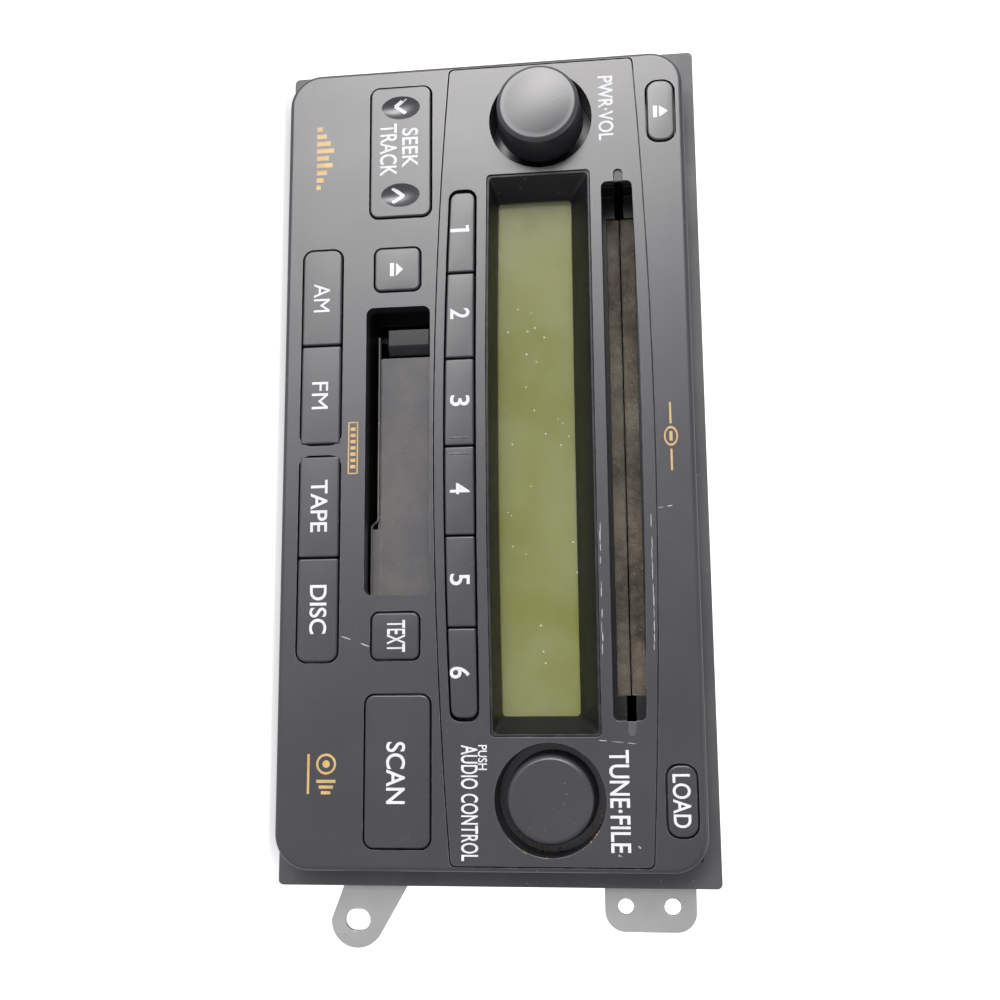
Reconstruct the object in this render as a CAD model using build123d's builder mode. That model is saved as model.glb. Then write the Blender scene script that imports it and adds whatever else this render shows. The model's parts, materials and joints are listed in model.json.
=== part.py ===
from build123d import *
from math import cos, pi, radians, sin, tan
import os

os.makedirs("parts", exist_ok=True)

# Millimetres. X runs right across the face, Y from the face into the radio, Z up.
# The origin is the middle of the flat underside of the chassis.
# "depth" is always measured back from the plane of the face.

# ---- what the radio takes in
cassette_width = 63.8
cassette_thick = 12.0
cassette_length = 100.4
disc_diameter = 120.0
disc_thick = 1.2

# ---- face, sideways
face_width = 191.0
face_rim = 1.3
well_radius = 12.35
well_edge = 14.2
window_gap = 1.25
preset_inset = 3.4
preset_count = 6
tape_side_room = 2.5
small_gap = 3.6
small_width = 11.4
rocker_gap = 7.15
rocker_edge = 4.65
source_bridge = 1.15
source_half = 49.75
top_button_edge = 7.4
top_button_width = 16.0

# ---- face, upwards: each row starts where the one under it ends, plus its gap
face_bottom = 1.6
source_gap = 4.1
source_height = 10.25
rocker_row_gap = 6.0
rocker_height = 15.6
tape_headroom = 3.4
small_height = 11.75
panel_gap = 0.95
panel_bow_low = 3.85
panel_bow_high = 2.9
preset_gap = 2.18
preset_height = 7.67
window_row_gap = 2.3
window_height = 25.4
window_bow = 0.7
slot_gap = 2.65
slot_height = 8.05
slot_bow = 0.85
panel_top_gap = 2.85
top_button_height = 7.2
face_top_gap = 1.9
plate_margin_side = 4.5
plate_margin_top = 3.0

# ---- face, into the radio
wall = 4.0
panel_thick = 2.4
skirt = 2.0
skirt_top = 1.0
plate_depth = 9.4
plate_thick = 2.0
ledge = 0.8
seam = 0.22
collar = 0.9
well_depth = 10.3
well_floor = 0.9
face_round = 1.2

# ---- buttons and knobs
button_gap = 0.4
button_split = 0.35
button_proud = 0.5
button_travel = 1.0
flange = 0.7
flange_thick = 1.1
preset_flange = 0.3
behind = 0.1
stem = 4.0
switch_size = 6.0
switch_body = 3.5
switch_nub = 0.9
trunnion_radius = 1.5
running = 0.06
knob_clear = 1.95
knob_draft = 0.65
knob_floor_gap = 0.4
knob_bevel = 1.0
knob_travel = 8.2
knob_wall = 2.0
shaft_radius = 3.0
rotor_radius = 5.0
rotor_length = 8.0
shaft_grip = 4.0
housing_size = 14.0
housing_wall = 1.2

# ---- display
window_depth = 7.3
window_side_slope = 4.2
window_low_slope = 1.7
window_high_slope = 4.8
mask_rim = 0.4
lens_thick = 1.3
display_thick = 2.2
guide_thick = 3.0

# ---- boards
board_thick = 1.6
board_depth = 15.2
board_side = 1.5

# ---- chassis
chassis_inset = 6.0
sheet = 1.0
deck_clear = 1.2
chassis_top_drop = 1.7
front_flange = 6.5
rear_room = 9.4
cover_lip = 5.0
lip_gap = 0.1
standoff = 5.0
rear_stud_radius = 2.5
rear_stud_length = 12.0
mount_spacing_y = 70.0
mount_spacing_z = 50.0
mount_hole = 2.1
bracket_screw = 2.5

# ---- side bracket
bracket_thick = 1.2
ear_depth = 12.5
bracket_length = 96.0
ear_reach = 9.9
ear_low = 75.0
ear_high = 95.5
ear_round = 4.6
ear_hole_out = 4.45
ear_hole_1 = (79.7, 1.75)
ear_hole_2 = (90.15, 1.85)
tab_hole_out = 8.05
tab_hole_z = 18.1
tab_radius = 6.2
tab_slot = (5.9, 2.4)
tab_root_low = 15.3
tab_root_high = 29.9

# ---- cassette side
door_setback = 1.0
door_thick = 1.2
door_knuckle = 1.3
door_pin_radius = 0.9
door_hinge_up = 2.0
door_low_gap = 0.45
door_step = 1.5
door_step_x = 17.0
door_strip_x = 4.7
lug_depth = 3.8
guide_wall = 1.7
capstan_side = 5.0
flywheel_radius = 17.0
flywheel_thick = 3.0
pulley_radius = 3.0
hub_spacing = 42.5
hub_radius = 4.6
tape_tail = 10.0
belt_gap = 0.1
belt_size = 1.2

# ---- disc side
groove_height = 2.0
groove_reach = 3.0
guide_channel = 5.4
felt_thick = 1.2
felt_inset = 2.5
felt_slit = 0.3
roller_radius = 4.0
roller_setback = 7.0
disc_setback = 15.0
disc_tail = 4.0
rail_gap = 6.0
turntable_radius = 13.0
gear_module = 0.8
roller_teeth = 15
pinion_teeth = 10
sled_travel = 29.5

# ---- worked out from the values above
face_half = face_width / 2
knob_base_radius = well_radius - knob_clear
knob_top_radius = knob_base_radius - knob_draft
knob_length = well_depth - knob_floor_gap
door_depth = wall + door_setback
plate_half = face_half + plate_margin_side
panel_half = face_half - face_rim
knob_x = panel_half - well_edge
window_half = knob_x - well_radius - window_gap
preset_half = window_half - preset_inset
preset_pitch = 2 * preset_half / preset_count
tape_half = cassette_width / 2 + tape_side_room
small_from = tape_half + small_gap
small_to = small_from + small_width
rocker_from = small_to + rocker_gap
rocker_to = face_half - rocker_edge
top_to = face_half - top_button_edge
top_from = top_to - top_button_width
slot_half = disc_diameter / 2 + 3.0
groove_half = slot_half + groove_reach

source_low = face_bottom + source_gap
source_high = source_low + source_height
rocker_low = source_high + rocker_row_gap
rocker_high = rocker_low + rocker_height
tape_height = cassette_thick + tape_headroom
tape_low = rocker_low - 0.35
tape_high = tape_low + tape_height
tape_mid = (tape_low + tape_high) / 2
small_low = tape_mid - small_height / 2 - 0.2
small_high = small_low + small_height
panel_low = tape_high + panel_gap
preset_low = panel_low + preset_gap
preset_high = preset_low + preset_height
window_low = preset_high + window_row_gap
window_high = window_low + window_height
window_mid = (window_low + window_high) / 2
knob_z = window_mid + 1.1
slot_low = window_high + slot_gap
slot_high = slot_low + slot_height
disc_z = (slot_low + slot_high) / 2
panel_high = slot_high + panel_top_gap
top_low = panel_high
top_high = top_low + top_button_height
face_top = top_high + face_top_gap
plate_top = face_top + plate_margin_top

chassis_front = plate_depth + plate_thick
chassis_half = face_half - chassis_inset
chassis_inner = chassis_half - sheet
chassis_top = plate_top - chassis_top_drop
board_back = board_depth + board_thick
deck_front = board_back + deck_clear
disc_radius = disc_diameter / 2
disc_centre = deck_front + disc_setback + disc_radius
deck_back = disc_centre + disc_radius + disc_tail
tape_deck_back = deck_front + cassette_length + tape_tail
chassis_back = max(deck_back, tape_deck_back) + rear_room
face_y = -(chassis_front + chassis_back) / 2
switch_front = board_depth - switch_body
stem_end = switch_front - switch_nub - button_travel - behind
hinge_z = tape_high + door_hinge_up
hinge_depth = door_depth + door_thick / 2
rotor_front = board_back + 0.6
shaft_length = rotor_front + shaft_grip + knob_travel
housing_back = shaft_length + 3.0


def facing(depth):
    return Plane.XZ.offset(-(face_y + depth))


def save(piece, name):
    piece.part.label = name
    export_step(piece.part, f"parts/{name}.step")


def block(x_from, x_to, depth_from, depth_to, z_from, z_to, mode=Mode.ADD):
    middle = ((x_from + x_to) / 2, face_y + (depth_from + depth_to) / 2, (z_from + z_to) / 2)
    with Locations(middle):
        Box(x_to - x_from, depth_to - depth_from, z_to - z_from, mode=mode)


def post(x, z, radius, depth_from, depth_to, mode=Mode.ADD):
    with Locations(Location((x, face_y + (depth_from + depth_to) / 2, z), (90, 0, 0))):
        Cylinder(radius, depth_to - depth_from, mode=mode)


def pillar(x, depth, radius, z_from, z_to, mode=Mode.ADD):
    with Locations((x, face_y + depth, (z_from + z_to) / 2)):
        Cylinder(radius, z_to - z_from, mode=mode)


def bar(depth, z, radius, x_from, x_to, mode=Mode.ADD):
    with Locations(Location(((x_from + x_to) / 2, face_y + depth, z), (0, 90, 0))):
        Cylinder(radius, x_to - x_from, mode=mode)


def long_edge(half, height, bow):
    if bow == 0:
        return Line((-half, height), (half, height))
    return ThreePointArc((-half, height + bow), (0, height), (half, height + bow))


# A band across the face whose long edges are shallow arcs: low and high are the edges' heights at
# the middle, and each bow is how far the edge has moved by the ends.
def bowed(depth, half, low, low_bow, high, high_bow, corner):
    with BuildSketch(facing(depth)) as band:
        with BuildLine():
            lower = long_edge(half, low, low_bow)
            upper = long_edge(half, high, high_bow)
            Line(lower @ 0, upper @ 0)
            Line(lower @ 1, upper @ 1)
        make_face()
        fillet(band.vertices(), corner)
    return band.sketch


def panel_outline(depth, grow):
    return bowed(depth, panel_half + grow, panel_low - grow, panel_bow_low,
                 panel_high + grow, -panel_bow_high, 1.2)


def preset_outline(depth, grow, corner):
    return bowed(depth, preset_half + grow, preset_low - grow, 1.57, preset_high + grow, 0.55, corner)


def window_outline(depth, grow):
    return bowed(depth, window_half + grow, window_low - grow, window_bow, window_high + grow, 0.0, 1.0)


def rounded(depth, x_from, x_to, z_from, z_to, corner):
    with BuildSketch(facing(depth)) as face:
        with Locations(((x_from + x_to) / 2, (z_from + z_to) / 2)):
            RectangleRounded(abs(x_to - x_from), z_to - z_from, corner)
    return face.sketch


rocker_box = (rocker_from, rocker_to, rocker_low, rocker_high)
small_box = (small_from, small_to, small_low, small_high)
top_box = (top_from, top_to, top_low, top_high)
source_box = (source_bridge, source_half, source_low, source_high)
openings = [(rocker_box, 2.5), (small_box, 2.0), (top_box, 3.0), (source_box, 2.75)]


# ======== face ========
trunnion_x = (rocker_from + rocker_to) / 2
trunnion_depth = wall + 2.6
boss_size = 2.4

with BuildPart() as fascia_bezel:
    block(-face_half, face_half, 0, plate_depth, face_bottom, face_top)
    upright = fascia_bezel.edges().filter_by(Axis.Y)
    fillet(upright, 8.0)
    fillet(fascia_bezel.faces().sort_by(Axis.Y)[0].edges(), face_round)
    block(-face_half + skirt, face_half - skirt, wall, plate_depth, face_bottom + skirt,
          face_top - skirt_top, mode=Mode.SUBTRACT)
    extrude(panel_outline(0, seam), amount=-panel_thick, mode=Mode.SUBTRACT)
    extrude(panel_outline(0, -ledge), amount=-wall, mode=Mode.SUBTRACT)
    for (x_from, x_to, z_from, z_to), corner in openings:
        extrude(rounded(0, x_from, x_to, z_from, z_to, corner), amount=-wall, mode=Mode.SUBTRACT)
        extrude(rounded(0, -x_to, -x_from, z_from, z_to, corner), amount=-wall, mode=Mode.SUBTRACT)
    extrude(rounded(0, -tape_half, tape_half, tape_low, tape_high, 1.8), amount=-wall, mode=Mode.SUBTRACT)
    boss_low = rocker_low - flange - boss_size
    boss_high = rocker_high + flange
    for boss_z in (boss_low, boss_high):
        block(-trunnion_x - 3, -trunnion_x + 3, wall, trunnion_depth + 2.6, boss_z, boss_z + boss_size)
    with Locations((-trunnion_x, face_y + trunnion_depth, (rocker_low + rocker_high) / 2)):
        Cylinder(trunnion_radius + running, 2 * rocker_height, mode=Mode.SUBTRACT)
save(fascia_bezel, "fascia_bezel")

with BuildPart() as centre_panel:
    extrude(panel_outline(0, 0), amount=-panel_thick)
    extrude(window_outline(0, 0), amount=-panel_thick, mode=Mode.SUBTRACT)
    extrude(preset_outline(0, 0, 2.4), amount=-panel_thick, mode=Mode.SUBTRACT)
    extrude(bowed(0, slot_half, slot_low, 0, slot_high, -slot_bow, 1.4), amount=-panel_thick,
            mode=Mode.SUBTRACT)
    extrude(rounded(0, -groove_half, groove_half, disc_z - 1, disc_z + 1, 0.95), amount=-panel_thick,
            mode=Mode.SUBTRACT)
    for side in (-1, 1):
        post(side * knob_x, knob_z, well_radius + collar, panel_thick, well_depth + well_floor)
        post(side * knob_x, knob_z, well_radius, 0, well_depth, mode=Mode.SUBTRACT)
        post(side * knob_x, knob_z, shaft_radius + 0.6, 0, well_depth + well_floor, mode=Mode.SUBTRACT)
save(centre_panel, "centre_panel")

with BuildPart() as rear_frame:
    block(-plate_half, plate_half, plate_depth, chassis_front, 0, plate_top)
    fillet(rear_frame.edges().filter_by(Axis.Y), 1.2)
    block(-face_half + 1.4, face_half - 1.4, plate_depth, chassis_front, face_bottom + skirt,
          face_top - skirt_top, mode=Mode.SUBTRACT)
save(rear_frame, "rear_frame")

# ======== display ========
mask_back = window_depth + lens_thick + 0.2
mask_front = 0.35
with BuildPart() as display_mask:
    extrude(window_outline(mask_front, -0.12), amount=-(mask_back - mask_front))
    with BuildSketch(facing(mask_front)):
        with Locations((0, window_mid + 0.3)):
            RectangleRounded(2 * (window_half - mask_rim), window_height - 2 * mask_rim - 0.7, 0.9)
    with BuildSketch(facing(window_depth)):
        low = window_low + window_low_slope
        high = window_high - window_high_slope
        with Locations((0, (low + high) / 2)):
            RectangleRounded(2 * (window_half - window_side_slope), high - low, 0.8)
    loft(mode=Mode.SUBTRACT)
    block(-window_half + 2.2, window_half - 2.2, window_depth, mask_back, window_low + 1.4,
          window_high - 2.6, mode=Mode.SUBTRACT)
save(display_mask, "display_mask")

with BuildPart() as display_lens:
    block(-window_half + 2.3, window_half - 2.3, window_depth, window_depth + lens_thick,
          window_low + 1.5, window_high - 2.7)
save(display_lens, "display_lens")

display_front = mask_back
with BuildPart() as display_panel:
    block(-window_half + 0.5, window_half - 0.5, display_front, display_front + display_thick,
          window_low + 0.6, window_high - 0.8)
    guide_front = display_front + display_thick + 0.1
    block(-window_half + 1.5, window_half - 1.5, guide_front, guide_front + guide_thick,
          window_low + 1.6, window_high - 1.8)
save(display_panel, "display_panel")

# ======== buttons ========
# Each button is a cap in its opening, a flange behind the wall that keeps it in, and a stem that
# reaches to its switch.
switch_spots = []


def cap_button(name, x_from, x_to, z_from, z_to, corner, flange_from, flange_to, square=()):
    cap_front = -button_proud
    middle_x = (x_from + x_to) / 2
    middle_z = (z_from + z_to) / 2
    with BuildPart() as button:
        with BuildSketch(facing(cap_front)) as cap:
            with Locations((middle_x, middle_z)):
                Rectangle(x_to - x_from, z_to - z_from)
            plain = [v for v in cap.vertices() if any(abs(v.X - x) < 0.01 for x in square)]
            fillet([v for v in cap.vertices() if v not in plain], corner)
            if plain:
                fillet([v for v in cap.vertices().sort_by_distance((square[0], 0, middle_z))[:2]], 0.4)
        extrude(amount=-(button_proud + wall))
        fillet(button.faces().sort_by(Axis.Y)[0].edges(), 0.35)
        block(flange_from, flange_to, wall + behind, wall + behind + flange_thick, z_from - flange,
              z_to + flange)
        block(middle_x - stem / 2, middle_x + stem / 2, wall, stem_end, middle_z - stem / 2,
              middle_z + stem / 2)
    switch_spots.append((middle_x, middle_z))
    save(button, name)


grown = flange + button_gap


def boxed_button(name, box, side, corner):
    x_from, x_to, z_from, z_to = box
    edges = sorted((side * x_from, side * x_to))
    left = edges[0] + button_gap
    right = edges[1] - button_gap
    cap_button(name, left, right, z_from + button_gap, z_to - button_gap, corner - button_gap,
               left - grown, right + grown)


boxed_button("tape_eject_button", small_box, -1, 2.0)
boxed_button("text_button", small_box, 1, 2.0)
boxed_button("disc_eject_button", top_box, -1, 3.0)
boxed_button("load_button", top_box, 1, 3.0)
boxed_button("scan_button", rocker_box, 1, 2.5)

source_split = (source_bridge + source_half) / 2
inner_edge = source_bridge + button_gap
outer_edge = source_half - button_gap
inner_flange = 0.35
source_cells = {
    "am_button": (-outer_edge, -source_split - button_split / 2),
    "fm_button": (-source_split + button_split / 2, -inner_edge),
    "tape_button": (inner_edge, source_split - button_split / 2),
    "disc_button": (source_split + button_split / 2, outer_edge),
}
for name, (x_from, x_to) in source_cells.items():
    inner = x_to if x_from < -source_split or 0 < x_from < source_split else x_from
    flange_from = x_from if abs(abs(x_from) - source_split) < 1 else x_from - grown
    flange_to = x_to if abs(abs(x_to) - source_split) < 1 else x_to + grown
    flange_from = max(flange_from, inner_flange) if x_from > 0 else flange_from
    flange_to = min(flange_to, -inner_flange) if x_to < 0 else flange_to
    cap_button(name, x_from, x_to, source_low + button_gap, source_high - button_gap, 2.3,
               flange_from, flange_to, square=(inner,))

preset_flange_depth = panel_thick + behind
preset_reach = preset_flange_depth + flange_thick + button_travel + 0.3
for index in range(preset_count):
    cell_x = -preset_half + (index + 0.5) * preset_pitch
    with BuildPart() as preset_button:
        with BuildSketch() as cell:
            with Locations((cell_x, (preset_low + preset_high) / 2)):
                Rectangle(preset_pitch - button_split, 3 * preset_height)
        band = facing(-button_proud) * cell.sketch_local
        extrude(preset_outline(-button_proud, -button_gap, 2.0), amount=-(button_proud + preset_flange_depth))
        extrude(preset_outline(preset_flange_depth, preset_flange, 0.5), amount=-flange_thick)
        extrude(band, amount=-(button_proud + preset_flange_depth + flange_thick), mode=Mode.INTERSECT)
        fillet(preset_button.faces().sort_by(Axis.Y)[0].edges(), 0.3)
        block(cell_x - stem / 2, cell_x + stem / 2, preset_flange_depth, stem_end,
              preset_low + 2.2, preset_low + 2.2 + stem)
    switch_spots.append((cell_x, preset_low + 2.2 + stem / 2))
    save(preset_button, f"preset_button_{index + 1}")

# The rocker turns on an upright trunnion held by two bosses behind the bezel, and has two oval
# hollows for the thumb.
hollow_deep = 0.9
hollow_across = 5.6
hollow_long = 8.8
hollow_offset = (rocker_to - rocker_from) / 2 * 0.66
rocker_mid_z = (rocker_low + rocker_high) / 2
rocker_stem_inset = 8.15
rocker_stem_x = (rocker_to - rocker_from) / 2 - rocker_stem_inset
with BuildPart() as seek_rocker:
    extrude(rounded(-button_proud, -rocker_to + button_gap, -rocker_from - button_gap,
                    rocker_low + button_gap, rocker_high - button_gap, 2.1),
            amount=-(button_proud + wall - 0.6))
    fillet(seek_rocker.faces().sort_by(Axis.Y)[0].edges(), 0.35)
    for side in (-1, 1):
        centre_y = face_y - button_proud - hollow_across + hollow_deep
        hollow_plane = Plane(origin=(-trunnion_x + side * hollow_offset, centre_y, rocker_mid_z),
                             x_dir=(1, 0, 0), z_dir=(0, -1, 0))
        with BuildSketch(hollow_plane):
            Ellipse(hollow_across, hollow_long)
            with Locations((-hollow_across, 0)):
                Rectangle(2 * hollow_across, 4 * hollow_long, mode=Mode.SUBTRACT)
        revolve(axis=Axis((-trunnion_x + side * hollow_offset, centre_y, 0), (0, 0, 1)),
                mode=Mode.SUBTRACT)
        block(-trunnion_x + side * rocker_stem_x - 1.5, -trunnion_x + side * rocker_stem_x + 1.5,
              wall - 0.7, stem_end, rocker_mid_z - 1.5, rocker_mid_z + 1.5)
        switch_spots.append((-trunnion_x + side * rocker_stem_x, rocker_mid_z))
    block(-trunnion_x - 1.5, -trunnion_x + 1.5, wall - 0.7, trunnion_depth, rocker_low + 2, rocker_high - 2)
    pillar(-trunnion_x, trunnion_depth, trunnion_radius, boss_low, boss_high + boss_size)
save(seek_rocker, "seek_rocker")

# ======== knobs and their encoders ========

def knob(name, side, out):
    top = -knob_travel if out else 0.0
    x = side * knob_x
    with BuildPart() as turned:
        with BuildSketch(Plane.XY) as profile:
            with BuildLine():
                Polyline(
                    (0, 0), (knob_top_radius - knob_bevel, 0), (knob_top_radius, knob_bevel * 0.8),
                    (knob_base_radius, knob_length), (knob_base_radius - knob_wall, knob_length),
                    (knob_top_radius - knob_wall, knob_wall), (shaft_radius, knob_wall),
                    (shaft_radius, shaft_length), (0, shaft_length), close=True)
            make_face()
        revolve(axis=Axis.Y)
    placed = Location((x, face_y + top, knob_z)) * turned.part
    placed.label = name
    export_step(placed, f"parts/{name}.step")


knob("volume_knob", -1, True)
knob("tune_knob", 1, False)

for name, side in (("volume_rotor", -1), ("tune_rotor", 1)):
    with BuildPart() as rotor:
        post(side * knob_x, knob_z, rotor_radius, rotor_front, rotor_front + rotor_length)
        post(side * knob_x, knob_z, shaft_radius + running, rotor_front, rotor_front + rotor_length,
             mode=Mode.SUBTRACT)
    save(rotor, name)

with BuildPart() as encoder_housings:
    for side in (-1, 1):
        x = side * knob_x
        half = housing_size / 2
        block(x - half, x + half, board_back, housing_back, knob_z - half, knob_z + half)
        post(x, knob_z, rotor_radius + running, board_back, rotor_front + rotor_length + 0.2,
             mode=Mode.SUBTRACT)
        post(x, knob_z, shaft_radius + 0.6, board_back, housing_back - housing_wall, mode=Mode.SUBTRACT)
save(encoder_housings, "encoder_housings")

# ======== front board and switches ========
with BuildPart() as tact_switches:
    for x, z in switch_spots:
        half = switch_size / 2
        block(x - half, x + half, switch_front, board_depth, z - half, z + half)
        post(x, z, 1.7, switch_front - switch_nub, switch_front)
save(tact_switches, "tact_switches")

board_half = chassis_inner - board_side
tape_guide_half = tape_half + 0.8 + guide_wall
tape_guide_low = tape_low - 2.0
disc_guide_half = groove_half + 3.3
disc_guide_low = slot_low - 1.95
disc_guide_high = slot_high + 1.6
with BuildPart() as front_board:
    block(-board_half, board_half, board_depth, board_back, source_low - 2.2, disc_guide_high + 6)
    block(-tape_guide_half - 0.5, tape_guide_half + 0.5, board_depth, board_back, tape_guide_low - 0.6,
          hinge_z + 1.9, mode=Mode.SUBTRACT)
    block(-disc_guide_half - 0.5, disc_guide_half + 0.5, board_depth, board_back, slot_low,
          slot_high, mode=Mode.SUBTRACT)
    for side in (-1, 1):
        post(side * knob_x, knob_z, shaft_radius + 1.0, board_depth, board_back, mode=Mode.SUBTRACT)
save(front_board, "front_board")

# ======== disc slot behind the panel ========
channel_back = wall + 0.2 + guide_channel
disc_guide_back = board_depth - 0.7
felt_half = slot_half - felt_inset - 3.0
with BuildPart() as disc_guide:
    block(-disc_guide_half, disc_guide_half, wall + 0.2, disc_guide_back, disc_guide_low, disc_guide_high)
    block(-slot_half - 0.3, slot_half + 0.3, wall + 0.2, channel_back, slot_low - 0.2, slot_high + 0.3,
          mode=Mode.SUBTRACT)
    block(-felt_half, felt_half, channel_back, disc_guide_back, slot_low + 0.95, slot_high - 0.6,
          mode=Mode.SUBTRACT)
    block(-groove_half, groove_half, wall + 0.2, disc_guide_back, disc_z - groove_height / 2,
          disc_z + groove_height / 2, mode=Mode.SUBTRACT)
save(disc_guide, "disc_guide")

felt_front = channel_back + 0.4
with BuildPart() as disc_felts:
    block(-felt_half, felt_half, felt_front, felt_front + felt_thick, slot_low + 0.95,
          disc_z - felt_slit / 2)
    block(-felt_half, felt_half, felt_front, felt_front + felt_thick, disc_z + felt_slit / 2,
          slot_high - 0.6)
save(disc_felts, "disc_felts")

# ======== cassette door ========
guide_inner = tape_half + 0.8
guide_back = deck_front - 0.4
lug_low = tape_low + 4.3
lug_high = tape_high - 0.9
lug_reach = -tape_half + 10.6
lug_front = wall + 0.4
lug_left = -tape_half + 4.2
with BuildPart() as cassette_guide:
    block(-tape_guide_half, tape_guide_half, wall + behind, guide_back, tape_guide_low, hinge_z + 1.6)
    block(-guide_inner, guide_inner, wall + behind, guide_back, tape_low - 0.3, hinge_z + 1.6,
          mode=Mode.SUBTRACT)
    bar(hinge_depth, hinge_z, door_pin_radius + running, -tape_guide_half, tape_guide_half, mode=Mode.SUBTRACT)
    block(-tape_guide_half, tape_guide_half, wall, preset_reach, hinge_z + door_pin_radius + 0.15,
          hinge_z + 1.6, mode=Mode.SUBTRACT)
save(cassette_guide, "cassette_guide")

door_low = tape_low + door_low_gap
door_right = guide_inner - 0.4
door_left = lug_reach + 0.6
with BuildPart() as cassette_door:
    block(door_left, door_right, door_depth, door_depth + door_thick, door_low + door_step, hinge_z)
    block(door_step_x, door_right, door_depth, door_depth + door_thick, door_low, door_low + door_step)
    block(-tape_half + door_strip_x, door_left, door_depth, door_depth + door_thick,
          door_low + door_step, door_low + 2 * door_step)
    block(-guide_inner + 0.4, door_left, door_depth, door_depth + door_thick, lug_high, hinge_z)
    bar(hinge_depth, hinge_z, door_knuckle, -guide_inner + 0.4, door_right)
    bar(hinge_depth, hinge_z, door_pin_radius, -tape_guide_half, tape_guide_half)
save(cassette_door, "cassette_door")

with BuildPart() as door_lever:
    with BuildSketch(Plane.XY.offset(lug_low)):
        with BuildLine():
            Polyline((lug_left, face_y + lug_front), (lug_reach - 2.2, face_y + lug_front),
                     (lug_reach, face_y + lug_front + 1.6), (lug_reach - 0.6, face_y + lug_front + lug_depth),
                     (lug_left, face_y + lug_front + lug_depth), close=True)
        make_face()
    extrude(amount=lug_high - lug_low)
save(door_lever, "door_lever")

# ======== tape deck ========
tape_base = tape_low - 6.6
bay_half = cassette_width / 2 + 0.7
rail_front = hinge_depth + hinge_z - door_low + 0.8
rail = 1.5
motor_radius = 11.0
tape_deck_half = bay_half + rail + 2 * motor_radius + 3.0
hub_x = 3.0
hub_first = deck_front + cassette_length / 2 - hub_spacing / 2 - 2
hub_second = hub_first + hub_spacing
capstan_x = -cassette_width / 2 + capstan_side
capstan_depth = hub_first + 8.0
motor_x = bay_half + rail + motor_radius + 1.0
motor_depth = tape_deck_back - 22.0
capstan_radius = 1.2
drive_low = tape_base - 4.6
hub_top = tape_mid - cassette_thick / 2 - 0.4
tape_motor_high = tape_base + sheet + 20.0
with BuildPart() as tape_deck_frame:
    block(-tape_deck_half, tape_deck_half, deck_front, tape_deck_back, tape_base, tape_base + sheet)
    for side in (-1, 1):
        inner = side * bay_half
        outer = side * (bay_half + rail)
        block(min(inner, outer), max(inner, outer), rail_front, deck_front + cassette_length,
              tape_base + sheet, tape_high)
        edge = side * tape_deck_half
        foot = side * (tape_deck_half - sheet)
        block(min(edge, foot), max(edge, foot), deck_front + 10, tape_deck_back, tape_base + sheet,
              tape_high + 6)
    block(-bay_half - rail, bay_half + rail, tape_deck_back - 8, tape_deck_back - 8 + sheet,
          tape_base + sheet, tape_high)
    pillar(capstan_x, capstan_depth, capstan_radius + running, tape_base, tape_base + sheet,
           mode=Mode.SUBTRACT)
    pillar(motor_x, motor_depth, 2.4, tape_base, tape_base + sheet, mode=Mode.SUBTRACT)
    for hub_depth in (hub_first, hub_second):
        pillar(hub_x, hub_depth, 1.5 + running, tape_base, tape_base + sheet, mode=Mode.SUBTRACT)
    block(-bay_half - rail, -bay_half, capstan_depth - 16, capstan_depth + 30, tape_base + sheet,
          tape_high, mode=Mode.SUBTRACT)
save(tape_deck_frame, "tape_deck_frame")

with BuildPart() as tape_motor:
    pillar(motor_x, motor_depth, motor_radius, tape_base + sheet, tape_motor_high)
    pillar(motor_x, motor_depth, 1.0 + running, tape_base + sheet, tape_motor_high - 2, mode=Mode.SUBTRACT)
save(tape_motor, "tape_motor")

with BuildPart() as motor_pulley:
    pillar(motor_x, motor_depth, pulley_radius, drive_low, drive_low + flywheel_thick)
    pillar(motor_x, motor_depth, 1.0, drive_low, tape_motor_high - 4)
save(motor_pulley, "motor_pulley")

with BuildPart() as flywheel:
    pillar(capstan_x, capstan_depth, flywheel_radius, drive_low, drive_low + flywheel_thick)
    pillar(capstan_x, capstan_depth, capstan_radius, drive_low, hub_top)
save(flywheel, "flywheel")

for name, hub_depth in (("reel_hub_front", hub_first), ("reel_hub_rear", hub_second)):
    with BuildPart() as reel_hub:
        pillar(hub_x, hub_depth, 1.5, tape_base - 0.4, hub_top - 1.4)
        pillar(hub_x, hub_depth, hub_radius, tape_base + sheet + 0.3, hub_top - 1.4)
        pillar(hub_x, hub_depth, 2.6, hub_top - 1.4, hub_top)
        with Locations((hub_x, face_y + hub_depth, hub_top - 0.7)):
            with PolarLocations(2.8, 6):
                Box(1.4, 0.7, 1.4)
    save(reel_hub, name)

belt_mid = drive_low + flywheel_thick / 2


def belt_loop(extra):
    with BuildSketch(Plane.XY.offset(belt_mid - belt_size / 2)) as loop:
        with Locations((capstan_x, face_y + capstan_depth)):
            Circle(flywheel_radius + extra)
        with Locations((motor_x, face_y + motor_depth)):
            Circle(pulley_radius + extra)
        make_hull()
    return loop.sketch


with BuildPart() as drive_belt:
    extrude(belt_loop(belt_gap + belt_size * 0.8), amount=belt_size)
    extrude(belt_loop(belt_gap), amount=belt_size, mode=Mode.SUBTRACT)
save(drive_belt, "drive_belt")

with BuildPart() as tape_head:
    block(-bay_half - 7.5, -bay_half - 0.3, capstan_depth + 6, capstan_depth + 22, tape_base + sheet,
          tape_base + sheet + 7)
    block(-bay_half - 6, -bay_half + 0.1, capstan_depth + 9, capstan_depth + 19,
          tape_base + sheet + 7, tape_mid + 4)
save(tape_head, "tape_head")

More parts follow.
